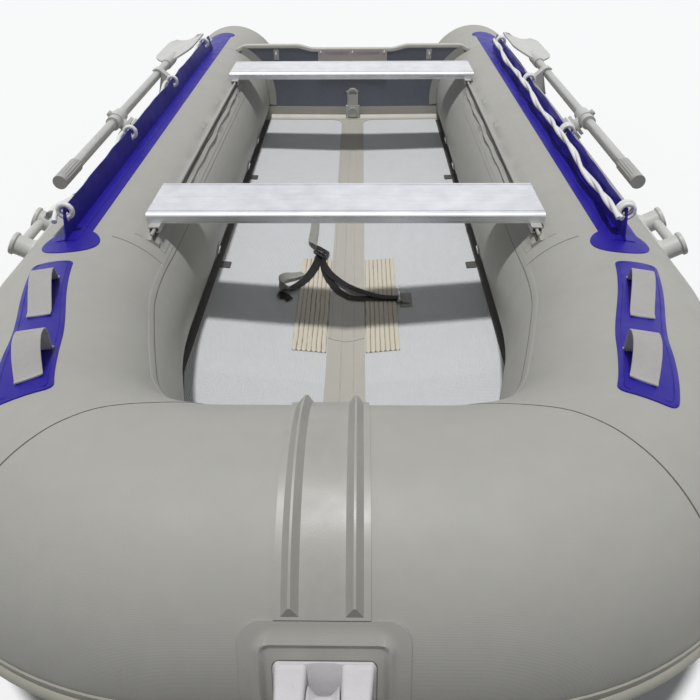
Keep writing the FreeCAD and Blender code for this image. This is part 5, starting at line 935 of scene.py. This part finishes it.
# Tank strap
# A grey webbing from under the front bench ends in a black buckle. Two black straps run from it over
# the pads: one lies folded back with a grey loop, the other is doubled to a D ring on a floor patch.
black_webbing = surface("black_webbing", tint(24, 23, 25), 0.6, tone=0.25, tone_size=0.02, gloss=0.25,
                        threads=(((1, 0.4, 0), 0.0018), ((0.4, -1, 0), 0.0024)), thread_depth=0.0003)
grey_webbing = surface("grey_webbing", tint(150, 149, 143), 0.6, tone=0.16, tone_size=0.02, sheen=0.3,
                       threads=(((1, 0.2, 0), 0.0018), ((0.2, -1, 0), 0.0024)), thread_depth=0.0003)


def ribbon(bm, stops, wide):
    """Flat webbing along (x, y, height over the floor, roll), in millimetres and degrees."""
    steps = through([(x / 1000, y / 1000, rise / 1000, turn) for x, y, rise, turn in stops], 7)
    half_thick = 0.00075
    spots = [floor_at(s[0], s[1], s[2]) for s in steps]
    rows = []
    for i, (spot, step) in enumerate(zip(spots, steps)):
        heading = heading_at(spots, i)
        flat = heading.cross(Vector((0, 0, 1))).normalized()
        level = flat.cross(heading)
        a = radians(step[3])
        side, face = flat * cos(a) + level * sin(a), level * cos(a) - flat * sin(a)
        rows.append([spot + side * (x * wide / 2) + face * (z * half_thick) for x, z in
                     ((-1, 0), (-0.94, 0.9), (-0.5, 1), (0, 0.8), (0.5, 1), (0.94, 0.9), (1, 0),
                      (0.94, -0.9), (0, -1), (-0.94, -0.9))])
    loft(bm, rows)


grey, black = bmesh.new(), bmesh.new()
for bm, wide, stops in (
        (grey, 0.03, [(-136, 235, 2, 0), (-128, 110, 2, 0), (-123, 0, 3, 0), (-124, -85, 6, 4),
                      (-124, -130, 11, 14), (-112, -165, 17, 42), (-98, -192, 19, 66)]),
        (grey, 0.024, [(-142, -335, 7, 6), (-168, -362, 14, 24), (-196, -386, 21, 52),
                       (-210, -412, 22, 84), (-200, -436, 16, 120), (-180, -444, 9, 160)]),
        (black, 0.026, [(-92, -222, 15, 52), (-100, -262, 12, 34), (-112, -312, 9, 18),
                        (-130, -362, 8, 6), (-152, -402, 8, 0), (-176, -432, 10, -12),
                        (-198, -456, 15, -34), (-204, -480, 16, -52)]),
        (black, 0.024, [(-204, -478, 14, -48), (-190, -470, 7, -12), (-172, -486, 3, 0)]),
        (black, 0.025, [(-88, -226, 15, -50), (-82, -272, 13, -34), (-70, -328, 10, -16),
                        (-52, -376, 6, -4), (-26, -420, 4.5, 0), (4, -446, 4.5, 0), (32, -458, 4.8, 0),
                        (60, -464, 6.6, 0), (108, -473, 6.8, 0), (152, -481, 7.8, 4)]),
        (black, 0.023, [(-80, -286, 16, -30), (-60, -334, 16, -18), (-28, -374, 15, -8),
                        (10, -408, 14, -4), (52, -440, 12, 0), (100, -466, 9.8, 0),
                        (152, -480, 10.8, 4)])):
    ribbon(bm, stops, wide)
piece("strap_grey", grey, grey_webbing)
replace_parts(piece("strap_black", black, black_webbing), "tank_strap")

buckle, dee, ring_patch = bmesh.new(), bmesh.new(), bmesh.new()
bar = {"sides": 10, "strands": 0}
tilted = Matrix.Rotation(radians(28), 3, "Y") @ Matrix.Rotation(radians(-12), 3, "Z")
buckle_at = floor_at(-0.09, -0.212, 0.017)
cord(buckle, [buckle_at + tilted @ Vector((x, y, 0)) for x, y in box_outline(0, 0, 0.021, 0.026, 0.006)],
     0.0042, closed=True, **bar)
for y in (-0.009, 0.01):
    cord(buckle, [buckle_at + tilted @ Vector((x * 0.02, y, 0.002)) for x in (-1, -0.5, 0, 0.5, 1)], 0.0036,
         **bar)
piece("strap_buckle", buckle, surface("black_plastic", tint(24, 24, 26), 0.35, tone=0.1, tone_size=0.02))
ring_at = floor_at(0.157, -0.482, 0.0085)
dee_line = [ring_at + Vector((-0.004 * sin(a), 0.026 * cos(a), 0.04 * sin(a))) for a in
            [pi * i / 20 for i in range(21)]]
cord(dee, dee_line + [ring_at + Vector((0, -0.026 + 0.0104 * i, 0)) for i in range(1, 5)], 0.0021,
     closed=True, **bar)
piece("strap_ring", dee, steel)
flat_patch(ring_patch, box_outline(0.176, -0.482, 0.018, 0.038, 0.006), 0.0016)
ribbon(ring_patch, [(150, -482, 8, 0), (160, -482, 11.2, 0), (170, -482, 4.6, 0), (190, -482, 2.8, 0)],
       0.04)
piece("strap_patch", ring_patch, grey_webbing)
